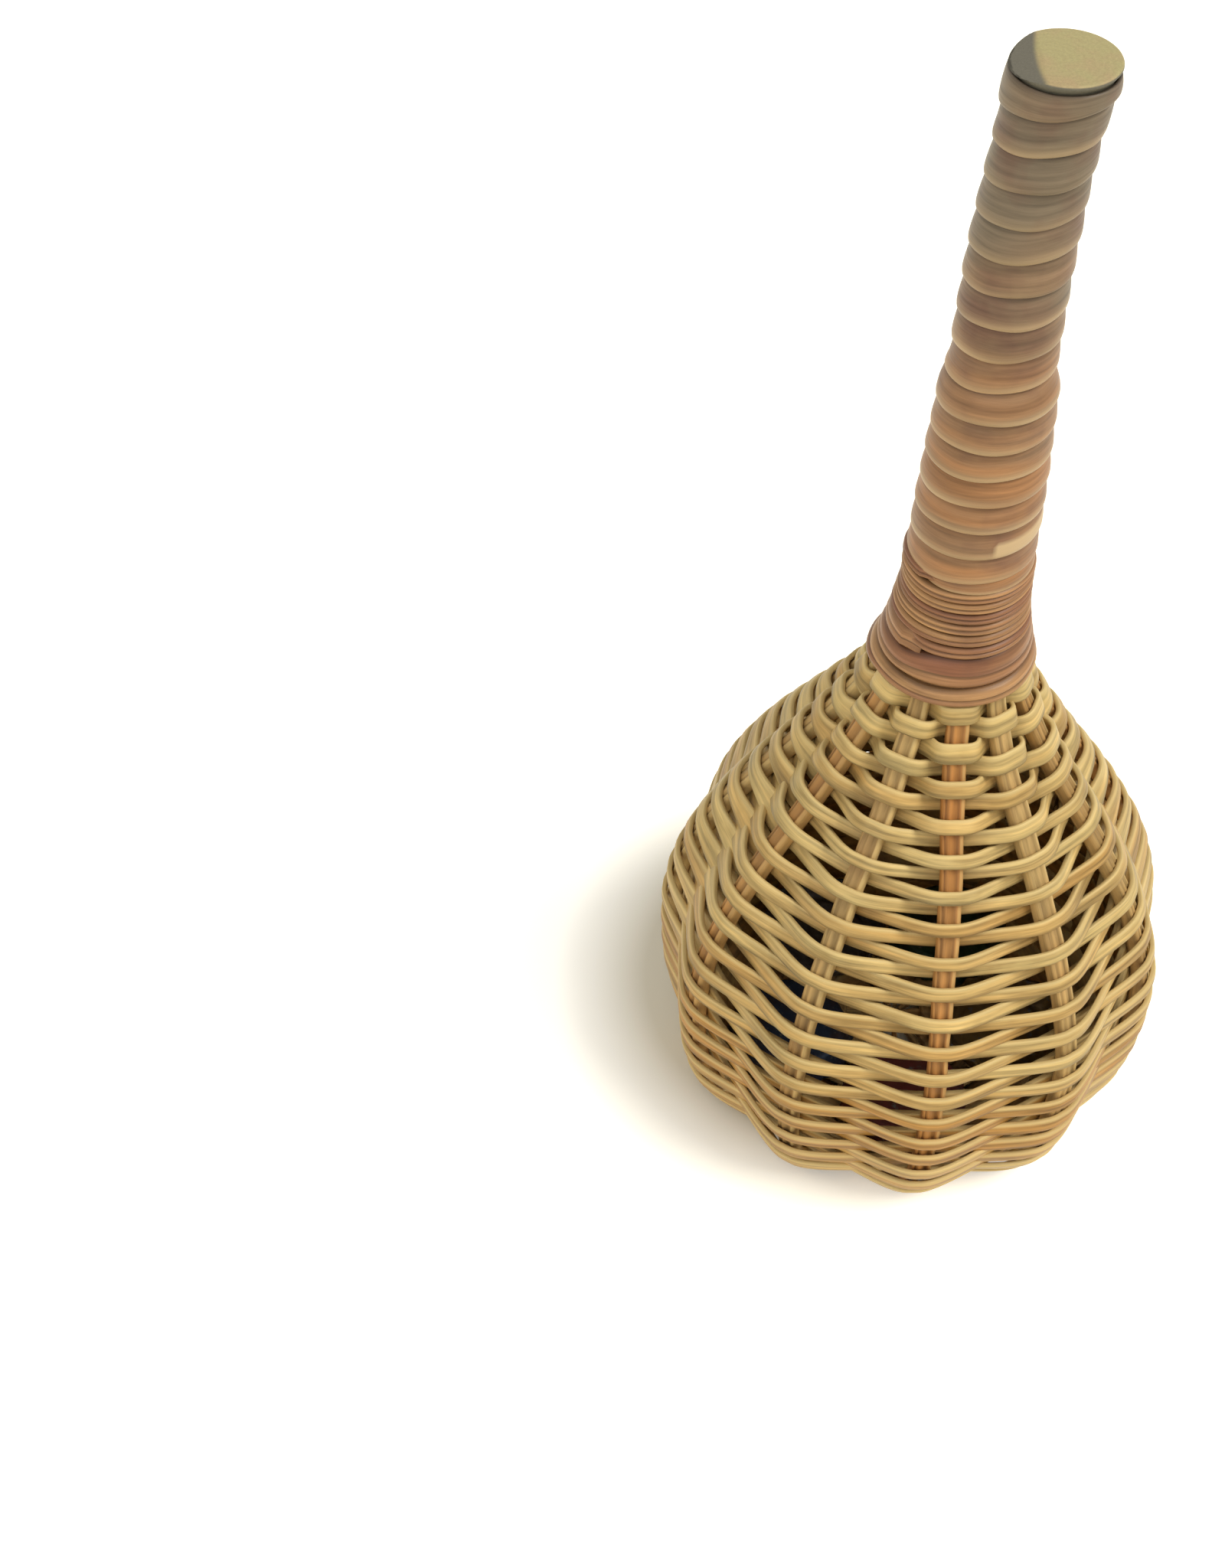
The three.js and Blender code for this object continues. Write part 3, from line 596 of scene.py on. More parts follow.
def make_stake(number):
    random = np.random.default_rng(STAKE_SEED + number)
    distance = np.linspace(0, STAKE_LENGTH, STAKE_RINGS)
    point, _, out = along(distance)
    height = point[:, 1]
    angle = FRONT + (number - 1) * STAKE_STEP
    side = round_direction(np.full(STAKE_RINGS, angle))
    wander = played(STAKE_WANDER, distance, number) * smooth_step(*WANDER_STARTS, distance)
    middle = turned(point, angle) + side * wander[:, None]
    across, outward = rolled(side, turned(out, angle), played(STAKE_ROLL, distance, number))
    x, y = flat_oval(STAKE_SIDES, STAKE_SQUARENESS, STAKE_FULLNESS)
    groove = sum(np.exp(-((x - at + random.uniform(-GROOVE_PLAY, GROOVE_PLAY)) / GROOVE_WIDTH) ** 2)
                 for at in STAKE_GROOVES)
    shoulder = smooth_step(*SPREAD_STARTS, height) * (1 - smooth_step(*SPREAD_ENDS, height))
    width = stake_width(distance) * (1 + STAKE_SPREAD * shoulder)
    width = width * (1 + played(STAKE_WIDTH_PLAY, distance, number))
    thickness = stake_thickness(distance) * (1 + STAKE_SWELL * stake_swell(distance, height))
    section = (x, y * (1 - GROOVE_DEPTH * groove))
    rings = strand_rings(middle, across, outward, section, width, thickness)
    tone = STAKE_TONE + played(STAKE_TONE_PLAY, distance, number)
    tone = tone + random.uniform(-STAKE_TONE_RANGE, STAKE_TONE_RANGE)
    tone = tone + (FRONT_STAKE_DEPTH if number == 1 else 0)
    slot = "cane_brown" if number in BROWN_STAKES else "cane_tan"
    pale_side = STAKE_PALE_SIDE * smooth_step(*PALE_SIDE_STARTS, x)
    # The crease mark paints shade into the grooves
    stake = tube(f"stake_{number}_cane", rings, slot, tone=np.clip(tone, 0, 1), edge=pale_side[None, :],
                 crease=GROOVE_SHADE * groove[None, :])
    add_to_shaker(stake, f"stake_{number}")


for number in range(1, STAKE_COUNT + 1):
    make_stake(number)

# Weavers: one spiral, even crossings outside the stakes and odd ones inside them

Cane = namedtuple("Cane", "width thickness pitch")
WALL_CANE = Cane(CANE_WIDTH, CANE_THICKNESS, ROW_PITCH)
NECK_CANE = Cane(NECK_CANE_WIDTH, NECK_CANE_THICKNESS, NECK_PITCH)

weave_start = (WEAVE_START_RADIUS - TIP_RADIUS) / (FOOT_RADIUS - TIP_RADIUS) * FOOT_DISTANCE
weave_end = NECK_DISTANCE - NECK_CANE_WIDTH / 2


def last_inside(climb, pitch):
    """The last crossing inside a stake within a climb up the wall."""
    return 2 * math.floor(climb * STAKE_COUNT / pitch / 2) + 1


def spiral_start(crossing):
    return weave_start + (crossing - 1) * ROW_PITCH / STAKE_COUNT


base_end = last_inside(FOOT_DISTANCE - weave_start, ROW_PITCH)
wall_end = last_inside(weave_end - NECK_ROWS * NECK_PITCH - weave_start, ROW_PITCH)
wall_crossings = (wall_end - base_end) / WALL_WEAVER_COUNT
splices = [1] + [base_end + 2 * round(k * wall_crossings / 2) for k in range(WALL_WEAVER_COUNT)] + [wall_end]
neck_start = spiral_start(wall_end) + (NECK_CANE_WIDTH - CANE_WIDTH) / 2
neck_end = wall_end - 1 + last_inside(weave_end - neck_start, NECK_PITCH)

# Path of a weaver: how it bends round the stakes, and how uneven its rows are, over lengths in crossings
WEAVER_STEPS = 7
BEND_SHARE = 0.36
BEND_ROUNDING = 1.7
LARGEST_LAP = 0.32
STRIP_GAP = 0.1
ROW_SLIP = Play(reach=0.45, seed=7, length=1.9)
REACH_PLAY = Play(reach=0.1, seed=8, length=1.3)
WEAVER_ROLL = Play(reach=0.12, seed=9, length=1.1)

# The rows under the collar, and the windings above them, sit higher on the neck than the solids
COLLAR_RISE = 4.0
RISE_STARTS = (80, 128)
RISE_ENDS = (150, 215)

# Section of a weaver, against the solid's, and where it is wider: inside the back wall, over the back, at the
# neck and at the foot. BACK_STARTS goes by y against the radius, from -1 in front to 1 behind, and the other
# pairs go by height.
VISIBLE_WIDTH = 0.99
VISIBLE_THICKNESS = 0.62
ACROSS_CORNER = 0.2
OUT_CORNER = 0.6
CROWN = 0.14
INNER_SPREAD = 1.5
INNER_THICKENING = 0.5
BACK_SPREAD = 0.3
BACK_STARTS = (-0.55, -0.15)
BACK_SPREAD_STARTS = (60, 110)
NECK_SPREAD = 0.25
NECK_SPREAD_STARTS = (98, 116)
FOOT_SPREAD = 0.5
FOOT_ENDS = (10, 52)
WEAVER_WIDTH_PLAY = Play(reach=0.1, seed=10, length=2.3)
WEAVER_THICKNESS_PLAY = Play(reach=0.06, seed=11, length=3.1)

# Tones of a weaver: it is made of lengths of cane, in pairs of crossings
BASE_TONE_SEED = 200
WALL_TONE_SEED = 210
NECK_TONE_SEED = 220
PAIRS_IN_LENGTH = (4, 15)
LENGTH_TONE_RANGE = 0.5
# Deeper tone low on the basket: partly the cane's own colour and partly painted shade
LOW_TONE = 0.65
TONE_FALL = 0.6
TONE_FALL_STARTS = (50, 95)
WEAVER_TONE_PLAY = 0.15
WEAVER_TONE_LENGTH = 4
# Painted highlight along the upper edge of each strand, and painted shade along its lower edge, which fades
# at the foot
UPPER_EDGE_HIGHLIGHT = 0.7
UPPER_EDGE_HIGHLIGHT_STARTS = (0.35, 0.95)
LOWER_EDGE_SHADE = 0.75
LOWER_EDGE_SHADE_STARTS = (0.4, 1)
FOOT_FADE = 0.7


def rounded_path(corners, steps):
    """An open polygon whose corners are rounded over a share of the sides that meet there."""
    t = np.linspace(0, 1, steps + 1)[None, :, None]
    corner = corners[1:-1, None]
    before = corner + BEND_SHARE * (corners[:-2, None] - corner)
    after = corner + BEND_SHARE * (corners[2:, None] - corner)
    curve = (1 - t) ** 2 * before + 2 * t * (1 - t) * corner + t ** 2 * after
    return np.concatenate([corners[:1], curve.reshape(-1, corners.shape[1]), corners[-1:]])


def collar_slide(height):
    """How far the weave's last rows and the windings are pushed up the neck."""
    return COLLAR_RISE * smooth_step(*RISE_STARTS, height) * (1 - smooth_step(*RISE_ENDS, height))


def weaver_path(first, last, start, cane):
    """Points along a weaver, with the way up the wall, the crossing and the side of the stakes there."""
    crossing = np.arange(first, last + 1)
    angle = FRONT + crossing * STAKE_STEP
    distance = start + (crossing - first) * cane.pitch / STAKE_COUNT + played(ROW_SLIP, crossing)
    distance = distance + collar_slide(along(distance)[0][:, 1])
    point, heading, out = along(distance)
    side = np.where(crossing % 2 == 0, 1, -1)
    seat = STAKE_THICKNESS * (1 + STAKE_SWELL * stake_swell(distance, point[:, 1])) / 2
    reach = side * (seat + VISIBLE_THICKNESS * cane.thickness / 2 + STRIP_GAP)
    reach = reach + played(REACH_PLAY, crossing)
    flat = point + out * reach[:, None]
    middle = turned(flat, angle)
    lap = np.minimum(stake_width(distance) / 2 + BEND_ROUNDING, LARGEST_LAP * STAKE_STEP * flat[:, 0])
    rise = cane.pitch / (TURN * flat[:, 0])
    climb = turned(heading, angle)
    forward = round_direction(angle) + climb * rise[:, None]
    near = -lap
    far = lap.copy()
    near[0] = SPLICE_GAP / 2
    far[-1] = -SPLICE_GAP / 2
    ends = np.stack([middle + forward * near[:, None], middle + forward * far[:, None]], axis=1)
    facts = np.stack([crossing, side], axis=-1).astype(float).repeat(2, axis=0)
    corners = np.concatenate([ends.reshape(-1, 3), climb.repeat(2, axis=0), facts], axis=1)
    path = rounded_path(corners, WEAVER_STEPS)
    return path[:, :3], path[:, 3:6], path[:, 6], path[:, 7]


def weaver_directions(spine, climb, where):
    """Directions across and out of a weaver along its path."""
    ahead = np.gradient(spine, axis=0)
    ahead /= np.linalg.norm(ahead, axis=1, keepdims=True)
    across = climb - ahead * np.sum(climb * ahead, axis=1, keepdims=True)
    across /= np.linalg.norm(across, axis=1, keepdims=True)
    return rolled(across, np.cross(ahead, across), played(WEAVER_ROLL, where))


def foot_share(height):
    """1 at the foot of the basket, and 0 on the wall."""
    return 1 - smooth_step(*FOOT_ENDS, height)


def weaver_size(spine, where, outside, cane):
    """Width and thickness of a weaver along its path."""
    height = spine[:, 2]
    behind = smooth_step(*BACK_STARTS, spine[:, 1] / np.hypot(spine[:, 0], spine[:, 1]))
    inner = behind * (1 - outside) / 2
    spread = INNER_SPREAD * inner + FOOT_SPREAD * foot_share(height)
    spread = spread + np.maximum(BACK_SPREAD * behind * smooth_step(*BACK_SPREAD_STARTS, height),
                                 NECK_SPREAD * smooth_step(*NECK_SPREAD_STARTS, height))
    width = cane.width * (VISIBLE_WIDTH + spread) * (1 + played(WEAVER_WIDTH_PLAY, where))
    thickening = 1 + INNER_THICKENING * inner + played(WEAVER_THICKNESS_PLAY, where)
    return width, cane.thickness * VISIBLE_THICKNESS * thickening


def strand_tones(seed, crossing, height):
    """Each length of cane has its own tone, and the weave is paler high on the basket and deeper low down,
    partly its own colour and partly painted shade.
    """
    random = np.random.default_rng(seed)
    lengths = 2 * random.integers(*PAIRS_IN_LENGTH, size=len(crossing))
    number = np.searchsorted(crossing[0] + np.cumsum(lengths), crossing, side="right")
    tones = random.uniform(-LENGTH_TONE_RANGE, LENGTH_TONE_RANGE, size=len(crossing))[number]
    tones = tones + LOW_TONE - TONE_FALL * smooth_step(*TONE_FALL_STARTS, height)
    return tones + WEAVER_TONE_PLAY * drift(seed + 1, crossing / WEAVER_TONE_LENGTH)


def make_weaver(node, seed, first, last, start, cane, slot):
    spine, climb, where, outside = weaver_path(first, last, start, cane)
    across, outward = weaver_directions(spine, climb, where)
    width, thickness = weaver_size(spine, where, outside, cane)
    section = strip_section(ACROSS_CORNER, OUT_CORNER, CROWN)
    rings = strand_rings(spine, across, outward, section, width, thickness)
    rings[..., 2] = np.maximum(rings[..., 2], 0)
    height = spine[:, 2]
    tone = np.clip(strand_tones(seed, where, height), 0, 1)
    # A painted highlight on the strand's upper edge and painted shade on its lower edge
    lip_and_highlight = UPPER_EDGE_HIGHLIGHT * smooth_step(*UPPER_EDGE_HIGHLIGHT_STARTS, section[0])
    shade = LOWER_EDGE_SHADE * (1 - FOOT_FADE * foot_share(height))
    crease = shade[:, None] * smooth_step(*LOWER_EDGE_SHADE_STARTS, -section[0])
    weaver = tube(f"{node}_cane", rings, slot, tone=tone, edge=lip_and_highlight[None, :], crease=crease)
    add_to_shaker(weaver, node)


make_weaver("base_weaver", BASE_TONE_SEED, splices[0], splices[1], weave_start, WALL_CANE, "cane_tan")
for number in range(1, WALL_WEAVER_COUNT + 1):
    first, last = splices[number], splices[number + 1]
    make_weaver(f"wall_weaver_{number}", WALL_TONE_SEED + number, first, last, spiral_start(first), WALL_CANE,
                "cane_straw")
make_weaver("neck_weaver", NECK_TONE_SEED, wall_end, neck_end, neck_start, NECK_CANE, "cane_straw")

# Handle: what the windings lie on, and how the stick's end bends

waist_height = HANDLE_TOP - CORE_WAIST_DROP
CORE_HEIGHTS = [CORE_BOTTOM, waist_height - CORE_TAPER, waist_height, WRAP_TOP, HANDLE_TOP - CORE_END_BEVEL]
CORE_RADII = [CORE_RADIUS, CORE_RADIUS, CORE_WAIST_RADIUS, CORE_COLLAR_RADIUS, CORE_END_RADIUS]
STICK_STARTS = (STAKE_TOP, STAKE_TOP + 7)
line_out = np.stack([line_heading[:, 1], -line_heading[:, 0]], axis=-1)
crest_line = fine_line + line_out * (stake_thickness(line_distance) / 2)[:, None]
above_belly = line_distance > BELLY_DISTANCE


def seat_radius(height):
    """Radius that a winding lies on: the crests of the stakes, and above them the stick."""
    stakes = np.interp(height, crest_line[above_belly, 1], crest_line[above_belly, 0])
    crest = np.hypot(stakes, STAKE_NECK_WIDTH * STAKE_FACE / 2)
    stick = np.interp(height, CORE_HEIGHTS, CORE_RADII)
    share = smooth_step(*STICK_STARTS, height)
    return crest * (1 - share) + stick * share + SEAT_GAP


def bend(points):
    """Points of the handle, pushed sideways as the stick's end is bent."""
    share = np.maximum(0, (points[..., 2] - BEND_HEIGHT) / BEND_LENGTH)
    shift = BEND_SHIFT * share ** 2
    bent = points.copy()
    bent[..., 0] += shift * math.cos(BEND_ANGLE)
    bent[..., 1] += shift * math.sin(BEND_ANGLE)
    return bent


# Windings. Lengths along a strip are in loops, and STRIP_WANDER_ANGLE is in radians.

LOOP_STEPS = 72
FLARE_STARTS = (0, 0.12)
LEAD_LIFT = 1.3
LEAD_CUT_ENDS = (-0.03, 0.1)
LEAD_LANDING = (-0.1, 0)
TUCK_SINK = 0.55
START_RAMP_FOOT = 0.5
END_RAMP_FOOT = 0.2
STRIP_THICKNESS_PLAY = 0.1
STRIP_WANDER_ANGLE = 1.3

Strand = namedtuple("Strand", "top pitch end")


class Winding:
    """A strip wound upwards that nests on the last turn of what lies below it. Where it is the wider of the
    two, its first turn tapers from the width of the one below to its own. It is trimmed level at the ceiling.

    A lead is a part of a loop before the start, which lies over the strand below. A strip rises to its
    thickness over its start ramp, thins over its end ramp, and sinks under the next strip along its tuck."""

    flare_width = 0.0

    def __init__(self, below, width, loops=None, ceiling=HANDLE_TOP, lead=0.0, start_ramp=0.0, end_ramp=0.0,
                 tuck=0.0):
        self.ceiling = ceiling
        self.lead = lead
        self.start_ramp = start_ramp
        self.end_ramp = end_ramp
        self.tuck = tuck
        self.pitch = width + TURN_GAP
        self.first_pitch = min(below.pitch, self.pitch)
        self.bottom = below.top - self.first_pitch + TURN_GAP
        self.loops = loops or self.loops_to(ceiling - WRAP_TAIL_WIDTH)
        self.start = below.end + SPLICE_GAP / seat_radius(self.bottom)
        self.end = self.start + self.loops * TURN
        self.top = self.bottom + self.first_pitch + (self.loops - 1) * self.pitch + width

    def loops_to(self, height):
        return 1 + (height - self.bottom - self.first_pitch) / self.pitch

    def edges(self, loop):
        """Heights of the lower and the upper edge after so many loops."""
        first = np.minimum(loop, 1)
        low = self.bottom + first * self.first_pitch + (loop - first) * self.pitch
        width = self.first_pitch + (self.pitch - self.first_pitch) * first - TURN_GAP
        return low, np.minimum(low + width, self.ceiling)

    def flare(self, loop):
        """Extra width of the last turn, which fills up to a narrower strip that is wound on above it."""
        share = np.clip(loop - self.loops + 1, 0, 1)
        return smooth_step(*FLARE_STARTS, share) * np.maximum(self.flare_width * (1 - share), 0)

    def kept_thickness(self, loop):
        """Share of its thickness that the strip keeps near its ends."""
        kept = np.ones_like(loop)
        if self.start_ramp:
            kept = kept * smooth_step(-START_RAMP_FOOT * self.start_ramp, self.start_ramp, loop + self.lead)
        if self.tuck:
            kept = kept - TUCK_SINK * smooth_step(self.loops, self.loops + self.tuck / 2, loop)
        if self.end_ramp:
            kept = kept * smooth_step(-END_RAMP_FOOT * self.end_ramp, self.end_ramp, self.loops - loop)
        return kept

    def rings(self, share, lift, seed, wander):
        """Rings of the strip, and the loops wound at each. The section is given as shares of the width from
        the lower edge and distances off the seat."""
        loops = self.lead + self.loops + self.tuck
        loop = np.linspace(0, loops, round(loops * LOOP_STEPS) + 1) - self.lead
        angle = self.start + loop * TURN
        low, high = self.edges(loop)
        high = high + self.flare(loop)
        if self.lead:
            low = high - (high - low) * smooth_step(*LEAD_CUT_ENDS, loop + self.lead)
        rise = low + wander * drift(seed, angle / STRIP_WANDER_ANGLE)
        height = rise[:, None] + (high - low)[:, None] * share
        height = np.minimum(height + collar_slide(height), self.ceiling)
        thickness = self.kept_thickness(loop) * (1 + STRIP_THICKNESS_PLAY * drift(seed + 1, angle))
        raised = LEAD_LIFT * (1 - smooth_step(*LEAD_LANDING, loop))[:, None] * (1 - share)
        radius = seat_radius(height) + lift * thickness[:, None] + raised
        return turned(np.stack([radius, height], axis=-1), angle[:, None]), loop


def weave_top():
    """The last row of the weave, as the strand that the collar is wound on."""
    distance = neck_start + (neck_end - wall_end) * NECK_PITCH / STAKE_COUNT
    point, heading, out = along(np.array(distance))
    top = (point + out * WEAVE_REACH)[1] + heading[1] * NECK_CANE_WIDTH / 2
    return Strand(top, NECK_PITCH, FRONT + neck_end * STAKE_STEP)


band = Winding(weave_top(), BAND_WIDTH, BAND_LOOPS, lead=0.3, start_ramp=0.05, tuck=0.06)
binding = Winding(band, BINDING_WIDTH, BINDING_LOOPS, start_ramp=0.08, tuck=0.06)
wrap = Winding(binding, WRAP_WIDTH, ceiling=WRAP_TOP, start_ramp=0.08, end_ramp=0.15)
band.flare_width = band.pitch - binding.pitch

# Sections of the collar's strips: share of the width from the lower edge, distance off the seat, and painted
# shade in the creases
BAND_SECTION = [(-0.1, 0.35, 1), (0.03, 1.0, 0.7), (0.12, 1.55, 0.2), (0.26, 1.78, 0), (0.38, 1.68, 0.1),
                (0.44, 1.4, 0.9), (0.5, 1.62, 0.1), (0.66, 1.76, 0), (0.84, 1.6, 0.2), (0.97, 1.05, 0.7),
                (1.12, 0.3, 1), (1.05, 0.0, 1), (-0.05, 0.0, 1)]
BINDING_SECTION = [(-0.12, 0.5, 1), (-0.06, 1.1, 0.7), (0.1, 1.6, 0.1), (0.28, 1.76, 0), (0.42, 1.5, 0.3),
                   (0.48, 1.2, 1), (0.55, 1.45, 0.3), (0.75, 1.72, 0), (0.92, 1.55, 0.1), (1.06, 1.1, 0.7),
                   (1.12, 0.5, 1), (0.8, 0.1, 1), (0.2, 0.1, 1)]
STRAND_SPLIT = 0.46
COLLAR_WANDER = 0.14
COLLAR_TONE = 0.35
BAND_TONE_PLAY = 0.45
BINDING_TONE_PLAY = 0.5
LOWER_TONE_PACE = 2.3
UPPER_TONE_PACE = 2.9
BAND_SEED = 31
BINDING_SEED = 41


def make_collar_strip(node, winding, section, seed, tone_play):
    """A strip of the collar that looks like two strands, each with its own tone along its length."""
    share, lift, crease = np.array(section).T
    rings, loop = winding.rings(share, lift, seed, COLLAR_WANDER)
    lower = COLLAR_TONE + tone_play * drift(seed + 2, loop * LOWER_TONE_PACE)
    upper = COLLAR_TONE + tone_play * drift(seed + 3, loop * UPPER_TONE_PACE)
    tone = np.clip(np.where(share < STRAND_SPLIT, lower[:, None], upper[:, None]), 0, 1)
    # The crease column paints shade at the strips' edges and between the two strands
    strip = tube(f"{node}_cane", rings, "collar_cane", tone=tone, edge=0, crease=crease[None, :])
    add_to_shaker(strip, node)


make_collar_strip("neck_band", band, BAND_SECTION, BAND_SEED, BAND_TONE_PLAY)
make_collar_strip("neck_binding", binding, BINDING_SECTION, BINDING_SEED, BINDING_TONE_PLAY)

# Section of the wrap: share of the width, distance off the seat, pale lip, and painted shade in the crease.
# The pale lip is the paler cut edge with a painted highlight on it. A turn laps over the top of the turn
# below with its lower edge.
WRAP_SECTION = [(-0.13, 0.68, 0.5, 0.5), (-0.14, 0.95, 0.8, 0), (-0.1, 1.22, 1, 0), (0.0, 1.3, 0.8, 0),
                (0.12, 1.27, 0.4, 0), (0.24, 1.22, 0.12, 0), (0.4, 1.12, 0, 0), (0.6, 0.95, 0, 0),
                (0.8, 0.74, 0, 0.1), (0.95, 0.5, 0, 0.5), (1.04, 0.3, 0, 1), (1.04, 0.04, 0, 1),
                (0.5, 0.0, 0, 1), (0.12, 0.02, 0, 1), (0.03, 0.6, 0.3, 1)]
WRAP_SEED = 51
WRAP_WANDER = 0.35
GREYING = 1.2
GREYING_STARTS = (190, 262)
WRAP_TONE_PLAY = 0.25
WRAP_TONE_PACE = 2.6
LIP_STRENGTH = 0.65
LIP_PLAY = 0.6
LIP_PACE = 3.1
LIP_WEAR = 0.5
LIP_WEAR_STARTS = (205, 250)

# The pale cut end of a strip, on the lower half of one turn
PALE_END_LOOP = 2
PALE_END_ANGLE = math.radians(-80)
PALE_END_LENGTH = 0.2
PALE_END_WIDTH = 0.5


def make_wrap():
    """The peel round the handle, brown at its foot and grey at its top."""
    share, lift, lip_and_highlight, crease = np.array(WRAP_SECTION).T
    rings, loop = wrap.rings(share, lift, WRAP_SEED, WRAP_WANDER)
    height = rings[..., 2]
    tone = GREYING * smooth_step(*GREYING_STARTS, height)
    tone = tone + WRAP_TONE_PLAY * drift(WRAP_SEED + 2, loop * WRAP_TONE_PACE)[:, None]
    start = PALE_END_LOOP + (PALE_END_ANGLE - wrap.start) / TURN % 1
    pale = ((loop > start) & (loop < start + PALE_END_LENGTH))[:, None] & (share < PALE_END_WIDTH)
    # The lips' paleness is the cut edge's own colour together with a painted highlight
    worn = 1 - LIP_WEAR * smooth_step(*LIP_WEAR_STARTS, height)
    lip_and_highlight = lip_and_highlight * (LIP_STRENGTH + LIP_PLAY * drift(WRAP_SEED + 4, loop * LIP_PACE)[:, None]) * worn
    strip = tube("handle_wrap_peel", bend(rings), "wrap_cane", tone=np.clip(tone, 0, 1),
                 edge=np.where(pale, 1, np.clip(lip_and_highlight, 0, 1)), crease=crease[None, :])
    add_to_shaker(strip, "handle_wrap")


make_wrap()

# Handle stick with its sawn end and the facet on its left

CORE_SIDES = 180
CORE_SIDE_STEPS = 40
CORE_END_STEPS = 5
BEVEL_STEPS = 5
DISC_STEPS = 50
DISC_MIDDLE = 0.15
FACET_BOW = 0.9
FACET_BLUR = 0.5


def stick_profile():
    """Radii and heights of the stick, from its foot up and over the bevel to the middle of its end."""
    bevel_bottom = HANDLE_TOP - CORE_END_BEVEL
    side_heights = np.concatenate([np.linspace(CORE_BOTTOM, WRAP_TOP, CORE_SIDE_STEPS),
                                   np.linspace(WRAP_TOP, bevel_bottom, CORE_END_STEPS)[1:]])
    side_radii = np.interp(side_heights, CORE_HEIGHTS, CORE_RADII)
    turn = np.linspace(0, math.pi / 2, BEVEL_STEPS)[1:]
    bevel_radii = CORE_END_RADIUS - CORE_END_BEVEL * (1 - np.cos(turn))
    bevel_heights = HANDLE_TOP - CORE_END_BEVEL * (1 - np.sin(turn))
    disc_radii = np.linspace(CORE_END_RADIUS - CORE_END_BEVEL, DISC_MIDDLE, DISC_STEPS)[1:]
    disc_heights = np.full(len(disc_radii), HANDLE_TOP)
    return (np.concatenate([side_radii, bevel_radii, disc_radii]),
            np.concatenate([side_heights, bevel_heights, disc_heights]))


def make_stick():
    radii, heights = stick_profile()
    angles = np.arange(CORE_SIDES) * TURN / CORE_SIDES
    profile = np.stack([radii, heights], axis=-1)[:, None]
    rings = turned(np.broadcast_to(profile, (len(radii), CORE_SIDES, 2)), angles[None, :])
    toward = rings[..., 0] * math.cos(FACET_ANGLE) + rings[..., 1] * math.sin(FACET_ANGLE)
    sideways = rings[..., 1] * math.cos(FACET_ANGLE) - rings[..., 0] * math.sin(FACET_ANGLE)
    facet_height = HANDLE_TOP - (toward - FACET_INSET) * FACET_DROP / (CORE_END_RADIUS - FACET_INSET)
    facet_edge = FACET_INSET + FACET_BOW * (1 - (sideways / CORE_END_RADIUS) ** 2)
    rings[..., 2] = np.minimum(rings[..., 2], facet_height)
    # The facet's darker colour is partly painted shade, for a face turned away from the key light
    on_facet = smooth_step(-FACET_BLUR, FACET_BLUR, toward - facet_edge)
    on_side = (heights < HANDLE_TOP - CORE_END_BEVEL / 2).astype(float)[:, None]
    stick = tube("handle_stick", bend(rings), "stick_wood", tone=np.maximum(on_facet, on_side))
    add_to_shaker(stick, "handle_core")


make_stick()

# Crown caps, of which every second one lies upside down

CAP_STEPS = 6 * CAP_FLUTES
CAP_MIDDLE = 0.2
CAP_SKIRT = [(14.2, 3.6), (15.1, 1.8), (15.7, 0.6)]
CAP_SEAL = [(11.6, 5.0), (11.2, 4.7), (10.4, 4.7), (10.0, 5.1), (5, 5.2), (CAP_MIDDLE, 5.2)]
CAP_TOP = [(CAP_MIDDLE, CAP_HEIGHT), (6, CAP_HEIGHT), (CAP_CROWN_RADIUS - 0.6, CAP_HEIGHT),
           (CAP_CROWN_RADIUS, CAP_HEIGHT - 0.06), (CAP_CROWN_RADIUS + 0.6, CAP_HEIGHT - 0.35),
           (CAP_SHOULDER_RADIUS, CAP_HEIGHT - CAP_SHOULDER_DROP)]
CAP_INSIDE = [(radius - CAP_SHEET, height) for radius, height in reversed(CAP_SKIRT)]
CAP_CORNER = (CAP_SHOULDER_RADIUS - CAP_SHEET, CAP_HEIGHT - CAP_SHOULDER_DROP - CAP_SHEET)
CAP_RIM = [(CAP_RADIUS, 0), (CAP_RADIUS - CAP_SHEET, 0)]
CAP_PROFILE = CAP_TOP + CAP_SKIRT + CAP_RIM + CAP_INSIDE + [CAP_CORNER] + CAP_SEAL
CAP_ORBIT = (CAP_RADIUS + CAP_CLEARANCE) / math.sin(math.pi / CAP_COUNT)
UPSIDE_DOWN = np.array([1, -1, -1])


def make_cap(number, slot):
    angle = FRONT + (number - 1) * TURN / CAP_COUNT
    radii, heights = np.array(CAP_PROFILE).T
    turn = np.arange(CAP_STEPS) * TURN / CAP_STEPS
    depth = np.clip(1 - heights / (CAP_HEIGHT - CAP_SHOULDER_DROP), 0, 1)
    valley = (1 - np.cos(CAP_FLUTES * turn)) / 2
    drawn = radii[:, None] * (1 - depth[:, None] * valley * CAP_FLUTE_DEPTH / CAP_RADIUS)
    rings = turned(np.stack([drawn, np.broadcast_to(heights[:, None], drawn.shape)], axis=-1), turn[None, :])
    if number % 2 == 0:
        rings = rings * UPSIDE_DOWN + np.array([0, 0, CAP_HEIGHT])
    low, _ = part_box(f"bottlecap_{number}")
    rings = rings + np.array([CAP_ORBIT * math.cos(angle), CAP_ORBIT * math.sin(angle), low.z / MM])
    cap = tube(f"crown_cap_{number}", rings, slot)
    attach(cap, f"cap_{number}")
    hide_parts(f"bottlecap_{number}")


for number, slot in enumerate(CAP_PAINTS, start=1):
    make_cap(number, slot)

# Tack through the wrap at the back of the stick's end

TACK_SIDES = 24
TACK_DOME_STEPS = 7
TACK_POINT_RADIUS = 0.05
TACK_POINT_LENGTH = 0.7
TACK_UNDERCUT = 0.15
TACK_RIM = 0.1


